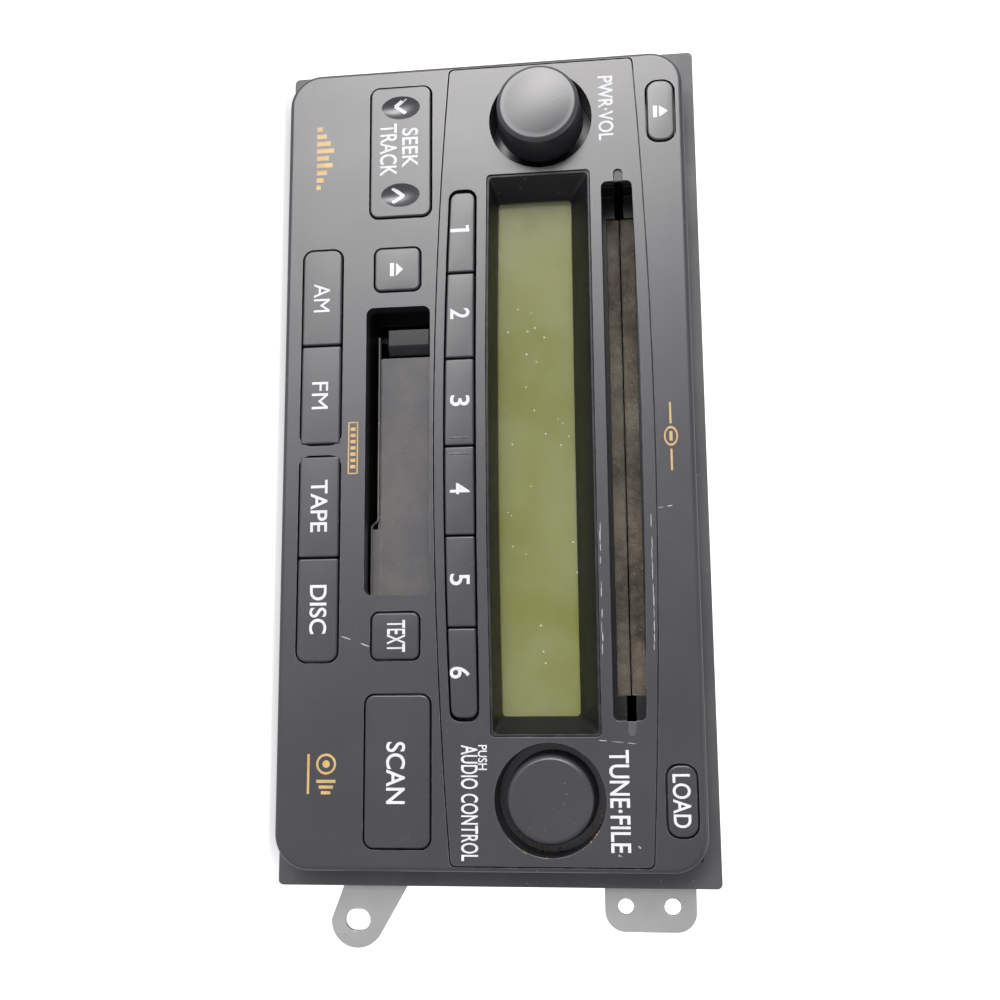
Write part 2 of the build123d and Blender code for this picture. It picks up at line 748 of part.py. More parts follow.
# ======== disc deck ========
disc_base = disc_z - 15.5
disc_deck_half = disc_radius + rail_gap
roller_depth = deck_front + roller_setback
roller_z = disc_z - disc_thick / 2 - 0.2 - roller_radius
roller_shaft = 1.5
gear_thick = 2.0
gear_x = disc_deck_half - 4.6
gear_distance = gear_module * (roller_teeth + pinion_teeth) / 2
pinion_depth = roller_depth + gear_distance
loading_motor_radius = 5.0
cone_height = 1.0
spindle_top = disc_z - disc_thick / 2 - 1.2
sled_low = disc_base + 2.6
sled_high = disc_z - disc_thick / 2 - 2.2
sled_start = 19.0
sled_width = 16.0
rod_radius = 1.5
rod_depth = disc_centre - 18.0
screw_depth = disc_centre + 16.0
rod_z = sled_low + 3.6
rod_from = turntable_radius - 8
rod_to = sled_start + sled_width + sled_travel + 1.6
with BuildPart() as disc_deck_frame:
    block(-disc_deck_half, disc_deck_half, deck_front, deck_back, disc_base, disc_base + sheet)
    block(rod_from - 3, disc_deck_half - 6, rod_depth - 5, screw_depth + 5, disc_base,
          disc_base + sheet, mode=Mode.SUBTRACT)
    for side in (-1, 1):
        inner = side * (disc_deck_half - sheet)
        outer = side * disc_deck_half
        block(min(inner, outer), max(inner, outer), deck_front, deck_back, disc_base, disc_z + 7)
    bar(roller_depth, roller_z, roller_shaft + running, -disc_deck_half, disc_deck_half, mode=Mode.SUBTRACT)
    block(-turntable_radius, 3, disc_centre - turntable_radius - 8, disc_centre + turntable_radius + 8,
          disc_base, disc_base + sheet)
    for depth in (rod_depth, screw_depth):
        for x in (rod_from - 5, rod_to):
            block(x, x + 2, depth - 3, depth + 3, disc_base + sheet, rod_z + 2.6)
            block(x - 1, x + 3, depth - 4, depth + 4, disc_base, disc_base + sheet)
        hole = rod_radius if depth == rod_depth else rod_radius + running
        bar(depth, rod_z, hole, rod_from - 5, rod_to + 2, mode=Mode.SUBTRACT)
    block(rod_from - 6, rod_to + 3, screw_depth + 3, screw_depth + 7, disc_base, disc_base + sheet)
    block(rod_from - 6, rod_to + 3, rod_depth - 7, rod_depth - 3, disc_base, disc_base + sheet)
    bar(rod_depth, rod_z, rod_radius, rod_from - 5, rod_to + 2)
save(disc_deck_frame, "disc_deck_frame")

with BuildPart() as turntable:
    pillar(0, disc_centre, 1.0, disc_base + sheet + 2, spindle_top)
    pillar(0, disc_centre, turntable_radius, spindle_top - 1.6, spindle_top)
    with Locations((0, face_y + disc_centre, spindle_top + cone_height / 2)):
        Cone(7.2, 6.6, cone_height)
save(turntable, "turntable")


# A plain spur gear whose teeth have straight flanks and a wide backlash.
def spur(depth, z, teeth, turned):
    pitch_radius = gear_module * teeth / 2
    root = pitch_radius - 1.1 * gear_module
    tip = pitch_radius + 0.8 * gear_module
    half = 0.2 * pi * gear_module
    lean = tan(radians(20))
    gear_plane = Plane(origin=(gear_x, face_y + depth, z), x_dir=(0, 1, 0), z_dir=(1, 0, 0))
    with BuildSketch(gear_plane) as wheel:
        Circle(root)
        for tooth in range(teeth):
            with Locations(Location((0, 0, 0), (0, 0, turned + 360 * tooth / teeth))):
                with BuildSketch(mode=Mode.PRIVATE) as shape:
                    Polygon((root - 0.3, half + (pitch_radius - root + 0.3) * lean),
                            (root - 0.3, -half - (pitch_radius - root + 0.3) * lean),
                            (tip, -half + (tip - pitch_radius) * lean),
                            (tip, half - (tip - pitch_radius) * lean), align=None)
                add(shape.sketch_local)
    return wheel.sketch


with BuildPart() as loading_roller:
    bar(roller_depth, roller_z, roller_shaft, -disc_deck_half - 0.6, disc_deck_half + 0.6)
    bar(roller_depth, roller_z, roller_radius, -disc_radius - 0.5, disc_radius - 2.5)
    extrude(spur(roller_depth, roller_z, roller_teeth, 0), amount=gear_thick)
save(loading_roller, "loading_roller")

with BuildPart() as loading_pinion:
    extrude(spur(pinion_depth, roller_z, pinion_teeth, 180 + 180 / pinion_teeth), amount=gear_thick)
    bar(pinion_depth, roller_z, 1.0, gear_x - 16, gear_x + gear_thick)
save(loading_pinion, "loading_pinion")

with BuildPart() as disc_motors:
    pillar(0, disc_centre, 10.0, disc_base + sheet, disc_base + sheet + 6)
    pillar(0, disc_centre, 1.0 + running, disc_base + sheet + 1.5, disc_base + sheet + 6, mode=Mode.SUBTRACT)
    block(4.5, 10.5, disc_centre - 11, disc_centre + 11, disc_base + sheet, disc_base + sheet + 6,
          mode=Mode.SUBTRACT)
    bar(pinion_depth, roller_z, loading_motor_radius, gear_x - 20, gear_x - 1.5)
    block(gear_x - 20, gear_x - 1.5, pinion_depth - 3, pinion_depth + 3, disc_base + sheet,
          roller_z - loading_motor_radius + 1)
    bar(pinion_depth, roller_z, 1.0 + running, gear_x - 17, gear_x - 1.5, mode=Mode.SUBTRACT)
save(disc_motors, "disc_motors")

with BuildPart() as laser_sled:
    block(sled_start, sled_start + sled_width, rod_depth - 4, screw_depth + 4, sled_low, sled_high - 2)
    pillar(sled_start + sled_width / 2, disc_centre, 3.2, sled_high - 2, sled_high)
    bar(rod_depth, rod_z, rod_radius + running, sled_start, sled_start + sled_width, mode=Mode.SUBTRACT)
    bar(screw_depth, rod_z, rod_radius + 0.1, sled_start, sled_start + sled_width, mode=Mode.SUBTRACT)
save(laser_sled, "laser_sled")

with BuildPart() as lead_screw:
    bar(screw_depth, rod_z, rod_radius, rod_from - 5.6, rod_to + 2.6)
save(lead_screw, "lead_screw")

# ======== boards and what stands on them ========
main_low = sheet + standoff
main_high = main_low + board_thick
main_front = deck_front + 2
main_back = chassis_back - 5
with BuildPart() as main_board:
    block(-board_half, board_half, main_front, main_back, main_low, main_high)
save(main_board, "main_board")

amplifier_depth = chassis_back - 3.6
capacitor_radius = 7.5
with BuildPart() as board_components:
    for x in (-62, -38):
        block(x - 10, x + 10, amplifier_depth - 1.4, chassis_back, main_high + 3, main_high + 21)
        block(x - 9, x + 9, amplifier_depth - 1.4, amplifier_depth - 0.8, main_low + 1.6, main_high + 3)
    for depth in (70, 86, 102):
        pillar(board_half - 8, depth, 6.2, main_high, main_high + 26)
    pillar(tape_deck_half + capacitor_radius + 1.5, main_back - 12, capacitor_radius, main_high,
           main_high + 30)
save(board_components, "board_components")

with BuildPart() as tuner_module:
    block(-board_half + 3, -tape_deck_half - 3, 84, 132, main_high, main_high + 13.5)
save(tuner_module, "tuner_module")

# ======== chassis ========
mount_mid_z = 50.0
mount_depth = chassis_front + 22.0
mount_points = [(mount_depth + a * mount_spacing_y, mount_mid_z + b * mount_spacing_z / 2)
                for a in (0, 1) for b in (-1, 1)]
lip_low = chassis_top - cover_lip - sheet
lip_from = chassis_half + lip_gap
cover_screw = 1.5
cover_screw_z = lip_low + 2.6
cover_screw_depths = (chassis_front + 12, chassis_back - 12)
with BuildPart() as chassis_tray:
    block(-chassis_half, chassis_half, chassis_front, chassis_back, 0, chassis_top - sheet)
    block(-chassis_half - front_flange, chassis_half + front_flange, chassis_front, chassis_front + sheet, 0,
          chassis_top - sheet)
    block(-chassis_inner, chassis_inner, chassis_front, chassis_back, sheet, chassis_top, mode=Mode.SUBTRACT)
    for depth, z in mount_points:
        bar(depth, z, mount_hole, -chassis_half, -chassis_inner, mode=Mode.SUBTRACT)
        bar(depth, z, bracket_screw, chassis_inner, chassis_half, mode=Mode.SUBTRACT)
    for depth in cover_screw_depths:
        bar(depth, cover_screw_z, cover_screw, -chassis_half, chassis_half, mode=Mode.SUBTRACT)
    for side in (-1, 1):
        for depth in (main_front + 5, main_back - 5):
            pillar(side * (board_half - 5), depth, 3.0, sheet, main_low)
        foot = side * tape_deck_half
        step = side * (tape_deck_half - 1)
        tab = side * chassis_inner
        edge = side * disc_deck_half
        block(min(edge, tab), max(edge, tab), disc_centre - 6, disc_centre + 6, disc_z + 3, disc_z + 4)
        block(min(foot, tab), max(foot, tab), motor_depth - 22, motor_depth - 14, tape_base + 22,
              tape_base + 23)
save(chassis_tray, "chassis_tray")

cover_front = ear_depth + bracket_thick + 0.3
with BuildPart() as top_cover:
    block(-lip_from - sheet, lip_from + sheet, cover_front, chassis_back + sheet, chassis_top - sheet,
          chassis_top)
    for side in (-1, 1):
        inner = side * lip_from
        outer = side * (lip_from + sheet)
        block(min(inner, outer), max(inner, outer), cover_front, chassis_back + sheet, lip_low,
              chassis_top - sheet)
    block(-chassis_half, chassis_half, chassis_front + sheet, cover_front, chassis_top - sheet, chassis_top)
    for depth in cover_screw_depths:
        bar(depth, cover_screw_z, cover_screw, -lip_from - sheet, lip_from + sheet, mode=Mode.SUBTRACT)
    with Locations((0, face_y + disc_centre - 20, chassis_top - sheet / 2)):
        with GridLocations(9, 26, 9, 2):
            Box(2.2, 18, sheet, mode=Mode.SUBTRACT)
save(top_cover, "top_cover")

connector = (24.0, 62.0, 12.0, 34.0)
antenna_spot = (76.0, 24.0)
antenna_radius = 6.5
rear_back = chassis_back + sheet
stud_z = 52.0
with BuildPart() as rear_panel:
    block(-chassis_half, chassis_half, chassis_back, rear_back, 0, chassis_top - sheet)
    block(connector[0], connector[1], chassis_back, rear_back, connector[2], connector[3],
          mode=Mode.SUBTRACT)
    post(antenna_spot[0], antenna_spot[1], antenna_radius, chassis_back, rear_back, mode=Mode.SUBTRACT)
    post(0, stud_z, rear_stud_radius, rear_back, rear_back + rear_stud_length)
save(rear_panel, "rear_panel")

with BuildPart() as rear_connector:
    block(connector[0], connector[1], chassis_back - 8, rear_back + 2, connector[2], connector[3])
    block(connector[0] + 1.5, connector[1] - 1.5, chassis_back - 6, rear_back + 2, connector[2] + 1.5,
          connector[3] - 1.5, mode=Mode.SUBTRACT)
    with Locations(((connector[0] + connector[1]) / 2, face_y + chassis_back - 4.5,
                    (connector[2] + connector[3]) / 2)):
        with GridLocations(4, 0, 8, 1):
            Box(0.8, 3, 9)
save(rear_connector, "rear_connector")

socket_bore = 4.75
with BuildPart() as antenna_socket:
    post(antenna_spot[0], antenna_spot[1], antenna_radius, chassis_back - 6, rear_back + 8)
    post(antenna_spot[0], antenna_spot[1], socket_bore, chassis_back - 4, rear_back + 8, mode=Mode.SUBTRACT)
save(antenna_socket, "antenna_socket")

fin_base = 4.0
fin_out = 14.0
fin_count = 9
fin_thick = 1.8
sink_from = -chassis_half + 4
sink_to = -20.0
with BuildPart() as heat_sink:
    block(sink_from, sink_to, rear_back, rear_back + fin_base, 8, 40)
    fin_pitch = (sink_to - sink_from - fin_thick) / (fin_count - 1)
    for fin in range(fin_count):
        fin_x = sink_from + fin * fin_pitch
        block(fin_x, fin_x + fin_thick, rear_back + fin_base, rear_back + fin_base + fin_out, 8, 40)
save(heat_sink, "heat_sink")

# ======== side bracket with its two ears ========
bracket_from = chassis_half
bracket_low = 16.0
bracket_high = lip_low - 0.5
with BuildPart() as side_bracket:
    block(bracket_from, bracket_from + bracket_thick, ear_depth, ear_depth + bracket_length, bracket_low,
          bracket_high)
    with BuildSketch(facing(ear_depth)):
        with Locations(((bracket_from + plate_half + ear_reach) / 2, (ear_low + ear_high) / 2)):
            RectangleRounded(plate_half + ear_reach - bracket_from, ear_high - ear_low, ear_round)
        with Locations((bracket_from + ear_round, (ear_low + ear_high) / 2)):
            Rectangle(2 * ear_round, ear_high - ear_low - 4)
        for z, radius in (ear_hole_1, ear_hole_2):
            with Locations((plate_half + ear_hole_out - 0.05, z)):
                Circle(radius, mode=Mode.SUBTRACT)
    extrude(amount=-bracket_thick)
    with BuildSketch(facing(ear_depth)):
        tab_x = plate_half + tab_hole_out
        with BuildLine():
            flank = 38.0
            top_point = (tab_x + tab_radius * sin(radians(flank)),
                         tab_hole_z + tab_radius * cos(radians(flank)))
            low_point = (tab_x, tab_hole_z - tab_radius)
            tip = ThreePointArc(top_point, (tab_x + tab_radius, tab_hole_z), low_point)
            Line(tip @ 1, (plate_half - 1, tab_root_low))
            Line((plate_half - 1, tab_root_low), (bracket_from, tab_root_low))
            Line((bracket_from, tab_root_low), (bracket_from, tab_root_high))
            Line((bracket_from, tab_root_high), (plate_half, tab_root_high))
            Line((plate_half, tab_root_high), tip @ 0)
        make_face()
        with Locations((tab_x, tab_hole_z)):
            SlotOverall(tab_slot[0], 2 * tab_slot[1], rotation=90, mode=Mode.SUBTRACT)
    extrude(amount=-bracket_thick)
    for depth, z in mount_points:
        bar(depth, z, bracket_screw, bracket_from, bracket_from + bracket_thick, mode=Mode.SUBTRACT)
save(side_bracket, "side_bracket")

screw_head = 4.2
with BuildPart() as chassis_screws:
    for depth, z in mount_points:
        bar(depth, z, bracket_screw, chassis_inner - 1.5, bracket_from + bracket_thick)
        bar(depth, z, screw_head, bracket_from + bracket_thick, bracket_from + bracket_thick + 2.2)
    for side in (-1, 1):
        for depth in cover_screw_depths:
            outer = side * (lip_from + sheet)
            near = side * (chassis_inner - 3)
            head = outer + side * 1.6
            bar(depth, cover_screw_z, 2.8, min(outer, head), max(outer, head))
            bar(depth, cover_screw_z, cover_screw, min(near, outer), max(near, outer))
save(chassis_screws, "chassis_screws")
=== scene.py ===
import bpy
import json
import math
import random
from mathutils import Matrix, Vector

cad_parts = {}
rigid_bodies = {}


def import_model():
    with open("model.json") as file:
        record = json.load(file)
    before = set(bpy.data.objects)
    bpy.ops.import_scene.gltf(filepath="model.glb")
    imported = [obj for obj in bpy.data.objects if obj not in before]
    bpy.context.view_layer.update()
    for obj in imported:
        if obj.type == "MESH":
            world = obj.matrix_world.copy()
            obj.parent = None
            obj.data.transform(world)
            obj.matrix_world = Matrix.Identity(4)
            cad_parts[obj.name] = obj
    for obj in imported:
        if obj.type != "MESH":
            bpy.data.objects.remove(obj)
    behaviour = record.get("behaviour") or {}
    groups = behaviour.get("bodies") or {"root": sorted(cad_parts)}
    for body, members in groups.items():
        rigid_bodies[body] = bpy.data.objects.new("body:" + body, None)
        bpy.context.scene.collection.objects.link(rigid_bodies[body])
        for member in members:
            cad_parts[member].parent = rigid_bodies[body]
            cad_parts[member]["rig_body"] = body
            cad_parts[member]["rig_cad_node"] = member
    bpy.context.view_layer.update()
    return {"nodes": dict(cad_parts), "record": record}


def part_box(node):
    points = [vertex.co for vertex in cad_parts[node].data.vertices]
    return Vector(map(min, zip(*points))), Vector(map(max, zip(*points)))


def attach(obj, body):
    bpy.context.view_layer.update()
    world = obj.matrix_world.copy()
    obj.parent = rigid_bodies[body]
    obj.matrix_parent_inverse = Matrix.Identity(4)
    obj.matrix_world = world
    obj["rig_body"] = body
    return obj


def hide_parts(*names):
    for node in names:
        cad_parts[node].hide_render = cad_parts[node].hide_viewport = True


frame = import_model()
mm = 0.001
print("frame loaded:", len(frame["nodes"]), "nodes")


# ways of working: pick things, finish edits, keep each object at the origin
def deselectAll():
    if bpy.context.object is not None and bpy.context.object.mode != "OBJECT":
        bpy.ops.object.mode_set(mode="OBJECT")
    bpy.ops.object.select_all(action="DESELECT")


def pick(obj):
    deselectAll()
    obj.select_set(True)
    bpy.context.view_layer.objects.active = obj


def editWith(obj, mode, chosen):
    # opens obj with only the chosen faces, edges or vertices selected
    pick(obj)
    bpy.ops.object.mode_set(mode="EDIT")
    bpy.ops.mesh.select_mode(type=mode)
    bpy.ops.mesh.select_all(action="DESELECT")
    bpy.ops.object.mode_set(mode="OBJECT")
    parts = {"VERT": obj.data.vertices, "EDGE": obj.data.edges, "FACE": obj.data.polygons}[mode]
    for part in parts:
        part.select = chosen(part)
    bpy.ops.object.mode_set(mode="EDIT")


def editDone():
    bpy.ops.object.mode_set(mode="OBJECT")


def settle(obj):
    # the place goes into the mesh, and the object stays at the origin
    pick(obj)
    bpy.ops.object.transform_apply(location=True, rotation=True, scale=True)


def applyAll(obj):
    pick(obj)
    for modifier in list(obj.modifiers):
        bpy.ops.object.modifier_apply(modifier=modifier.name)


def smooth(obj, degrees=35):
    pick(obj)
    bpy.ops.object.shade_smooth_by_angle(angle=math.radians(degrees))


def evenNormals(obj):
    obj.modifiers.new("even", "WEIGHTED_NORMAL").keep_sharp = True
    applyAll(obj)


def addCube(name, low, high):
    deselectAll()
    low, high = Vector(low), Vector(high)
    bpy.ops.mesh.primitive_cube_add(size=1, location=(low + high) / 2, scale=high - low)
    cube = bpy.context.object
    cube.name = name
    settle(cube)
    return cube


def roundEdges(obj, width, segments=3, degrees=35):
    bevel = obj.modifiers.new("round", "BEVEL")
    bevel.width = width
    bevel.segments = segments
    bevel.limit_method = "ANGLE"
    bevel.angle_limit = math.radians(degrees)
    bevel.miter_outer = "MITER_ARC"
    applyAll(obj)


def joinAll(pieces, name):
    deselectAll()
    for piece in pieces:
        piece.select_set(True)
    bpy.context.view_layer.objects.active = pieces[0]
    bpy.ops.object.join()
    pieces[0].name = name
    return pieces[0]


def softCopy(node, name, width, segments=3):
    # a merged copy of a CAD node with its sharp edges rounded
    source = frame["nodes"][node]
    copy = source.copy()
    copy.data = source.data.copy()
    bpy.context.collection.objects.link(copy)
    copy.name = name
    copy.parent = None
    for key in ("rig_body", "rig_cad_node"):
        del copy[key]
    pick(copy)
    bpy.ops.mesh.customdata_custom_splitnormals_clear()
    editWith(copy, "VERT", lambda v: True)
    bpy.ops.mesh.remove_doubles(threshold=2e-6)
    bpy.ops.mesh.dissolve_limited(angle_limit=math.radians(0.4))
    editDone()
    if width:
        roundEdges(copy, width, segments)
    smooth(copy)
    evenNormals(copy)
    return copy


def lathe(name, profile, centre, steps=96):
    # spins a profile of (radius, distance behind centre) round the axis that runs into the radio
    deselectAll()
    bpy.ops.mesh.primitive_plane_add(size=mm, location=(0, 0, 0))
    turned = bpy.context.object
    turned.name = name
    editWith(turned, "VERT", lambda v: v.index > 0)
    bpy.ops.mesh.delete(type="VERT")
    editDone()
    start = turned.data.vertices[0].co.copy()
    here = Vector((profile[0][0], profile[0][1], 0))
    editWith(turned, "VERT", lambda v: True)
    bpy.ops.transform.translate(value=here - start)
    for radius, back in profile[1:]:
        there = Vector((radius, back, 0))
        bpy.ops.mesh.extrude_region_move(TRANSFORM_OT_translate={"value": there - here})
        here = there
    bpy.ops.mesh.select_all(action="SELECT")
    bpy.ops.mesh.spin(steps=steps, angle=2 * math.pi, center=(0, 0, 0), axis=(0, 1, 0))
    bpy.ops.mesh.select_all(action="SELECT")
    bpy.ops.mesh.remove_doubles(threshold=1e-6)
    bpy.ops.mesh.normals_make_consistent(inside=False)
    editDone()
    turned.location = centre
    settle(turned)
    return turned


# shader groups that the finishes share
socketKinds = {"Vector": "NodeSocketVector", "Colour": "NodeSocketColor"}


def newGroup(name, inputs, outputs):
    # a label that socketKinds doesn't name stands for a number
    group = bpy.data.node_groups.new(name, "ShaderNodeTree")
    for label, value in inputs.items():
        kind = socketKinds.get(label, "NodeSocketFloat")
        socket = group.interface.new_socket(label, in_out="INPUT", socket_type=kind)
        if value is not None:
            socket.default_value = value
    for label in outputs:
        kind = socketKinds.get(label, "NodeSocketFloat")
        group.interface.new_socket(label, in_out="OUTPUT", socket_type=kind)
    return group, group.nodes.new("NodeGroupInput"), group.nodes.new("NodeGroupOutput")


def maths(tree, operation, first, second, clamp=False):
    node = tree.nodes.new("ShaderNodeMath")
    node.operation = operation
    node.use_clamp = clamp
    for socket, value in zip(node.inputs, (first, second)):
        if isinstance(value, (int, float)):
            socket.default_value = value
        else:
            tree.links.new(value, socket)
    return node.outputs[0]


def remap(tree, value, fromLow, fromHigh, toLow=0.0, toHigh=1.0):
    node = tree.nodes.new("ShaderNodeMapRange")
    tree.links.new(value, node.inputs["Value"])
    limits = {"From Min": fromLow, "From Max": fromHigh, "To Min": toLow, "To Max": toHigh}
    for label, number in limits.items():
        if isinstance(number, (int, float)):
            node.inputs[label].default_value = number
        else:
            tree.links.new(number, node.inputs[label])
    return node.outputs["Result"]


def noise(tree, vector, scale, detail=2.0, rough=0.5):
    node = tree.nodes.new("ShaderNodeTexNoise")
    node.inputs["Detail"].default_value = detail
    node.inputs["Roughness"].default_value = rough
    tree.links.new(vector, node.inputs["Vector"])
    if isinstance(scale, (int, float)):
        node.inputs["Scale"].default_value = scale
    else:
        tree.links.new(scale, node.inputs["Scale"])
    return node.outputs["Fac"]


def blendColour(tree, factor, first, second):
    node = tree.nodes.new("ShaderNodeMix")
    node.data_type = "RGBA"
    node.clamp_factor = True
    for socket, value in ((node.inputs[0], factor), (node.inputs[6], first), (node.inputs[7], second)):
        if isinstance(value, (int, float)):
            socket.default_value = value
        elif isinstance(value, tuple):
            socket.default_value = (*value, 1.0)
        else:
            tree.links.new(value, socket)
    return node.outputs[2]


def buildTone():
    # slow and fine changes in the colour of one surface
    usual = {"Vector": None, "Colour": None, "Scale": 60.0, "Variation": 0.1}
    tree, given, out = newGroup("tone", usual, ["Colour"])
    slow = noise(tree, given.outputs["Vector"], given.outputs["Scale"], 4.0, 0.6)
    fine = noise(tree, given.outputs["Vector"], maths(tree, "MULTIPLY", given.outputs["Scale"], 23.0), 2.0)
    both = maths(tree, "ADD", maths(tree, "MULTIPLY", slow, 0.7), maths(tree, "MULTIPLY", fine, 0.3))
    low = maths(tree, "SUBTRACT", 1.0, given.outputs["Variation"])
    high = maths(tree, "ADD", 1.0, given.outputs["Variation"])
    value = remap(tree, both, 0.3, 0.7, low, high)
    shade = tree.nodes.new("ShaderNodeHueSaturation")
    tree.links.new(given.outputs["Colour"], shade.inputs["Color"])
    tree.links.new(value, shade.inputs["Value"])
    tree.links.new(shade.outputs["Color"], out.inputs["Colour"])
    return tree


def buildGrain():
    # the fine skin of a moulded or brushed surface
    usual = {"Vector": None, "Scale": 4000.0, "Roughness": 0.5, "Spread": 0.08}
    tree, given, out = newGroup("grain", usual, ["Roughness", "Height"])
    fine = noise(tree, given.outputs["Vector"], given.outputs["Scale"], 3.0, 0.65)
    patch = noise(tree, given.outputs["Vector"], 70.0, 3.0, 0.6)
    low = maths(tree, "SUBTRACT", given.outputs["Roughness"], given.outputs["Spread"])
    high = maths(tree, "ADD", given.outputs["Roughness"], given.outputs["Spread"])
    tree.links.new(remap(tree, patch, 0.3, 0.7, low, high), out.inputs["Roughness"])
    tree.links.new(fine, out.inputs["Height"])
    return tree


def buildWear():
    # rubbed edges, broken up by noise
    tree, given, out = newGroup("edgeWear", {"Vector": None, "Width": 0.0004, "Amount": 0.5}, ["Mask"])
    bevel = tree.nodes.new("ShaderNodeBevel")
    bevel.samples = 4
    tree.links.new(given.outputs["Width"], bevel.inputs["Radius"])
    geometry = tree.nodes.new("ShaderNodeNewGeometry")
    turn = tree.nodes.new("ShaderNodeVectorMath")
    turn.operation = "DOT_PRODUCT"
    tree.links.new(bevel.outputs["Normal"], turn.inputs[0])
    tree.links.new(geometry.outputs["Normal"], turn.inputs[1])
    edge = remap(tree, turn.outputs["Value"], 0.99, 0.85)
    patch = noise(tree, given.outputs["Vector"], 380.0, 4.0, 0.7)
    broken = remap(tree, patch, 0.42, 0.62)
    mask = maths(tree, "MULTIPLY", maths(tree, "MULTIPLY", edge, broken), given.outputs["Amount"], True)
    tree.links.new(mask, out.inputs["Mask"])
    return tree


def buildDust():
    # scattered specks of dust over a faint film
    usual = {"Vector": None, "Scale": 900.0, "Specks": 0.1, "Film": 0.05}
    tree, given, out = newGroup("dust", usual, ["Mask"])
    cells = tree.nodes.new("ShaderNodeTexVoronoi")
    tree.links.new(given.outputs["Vector"], cells.inputs["Vector"])
    tree.links.new(given.outputs["Scale"], cells.inputs["Scale"])
    split = tree.nodes.new("ShaderNodeSeparateColor")
    tree.links.new(cells.outputs["Color"], split.inputs["Color"])
    size = maths(tree, "MULTIPLY", split.outputs[1], 0.32)
    inside = maths(tree, "LESS_THAN", cells.outputs["Distance"], size)
    rare = maths(tree, "LESS_THAN", split.outputs[0], given.outputs["Specks"])
    cloud = remap(tree, noise(tree, given.outputs["Vector"], 45.0, 5.0, 0.65), 0.4, 0.75)
    film = maths(tree, "MULTIPLY", cloud, given.outputs["Film"])
    specks = maths(tree, "MULTIPLY", inside, rare)
    tree.links.new(maths(tree, "MAXIMUM", specks, film, True), out.inputs["Mask"])
    return tree


def buildScratches():
    # hairline scratches in two directions
    tree, given, out = newGroup("scratches", {"Vector": None, "Amount": 0.2}, ["Mask"])
    masks = []
    for turn, stretch in ((0.35, (26.0, 26.0, 2600.0)), (-0.9, (2100.0, 30.0, 30.0))):
        mapping = tree.nodes.new("ShaderNodeMapping")
        mapping.inputs["Rotation"].default_value = (0.0, turn, 0.0)
        mapping.inputs["Scale"].default_value = stretch
        tree.links.new(given.outputs["Vector"], mapping.inputs["Vector"])
        masks.append(remap(tree, noise(tree, mapping.outputs["Vector"], 1.0, 1.0), 0.72, 0.77))
    both = maths(tree, "MAXIMUM", masks[0], masks[1])
    tree.links.new(maths(tree, "MULTIPLY", both, given.outputs["Amount"], True), out.inputs["Mask"])
    return tree


groups = {"tone": buildTone(), "grain": buildGrain(), "wear": buildWear(), "dust": buildDust(),
          "scratches": buildScratches()}


def useGroup(tree, name, vector, **values):
    node = tree.nodes.new("ShaderNodeGroup")
    node.node_tree = groups[name]
    tree.links.new(vector, node.inputs["Vector"])
    for label, value in values.items():
        node.inputs[label].default_value = (*value, 1.0) if isinstance(value, tuple) else value
    return node


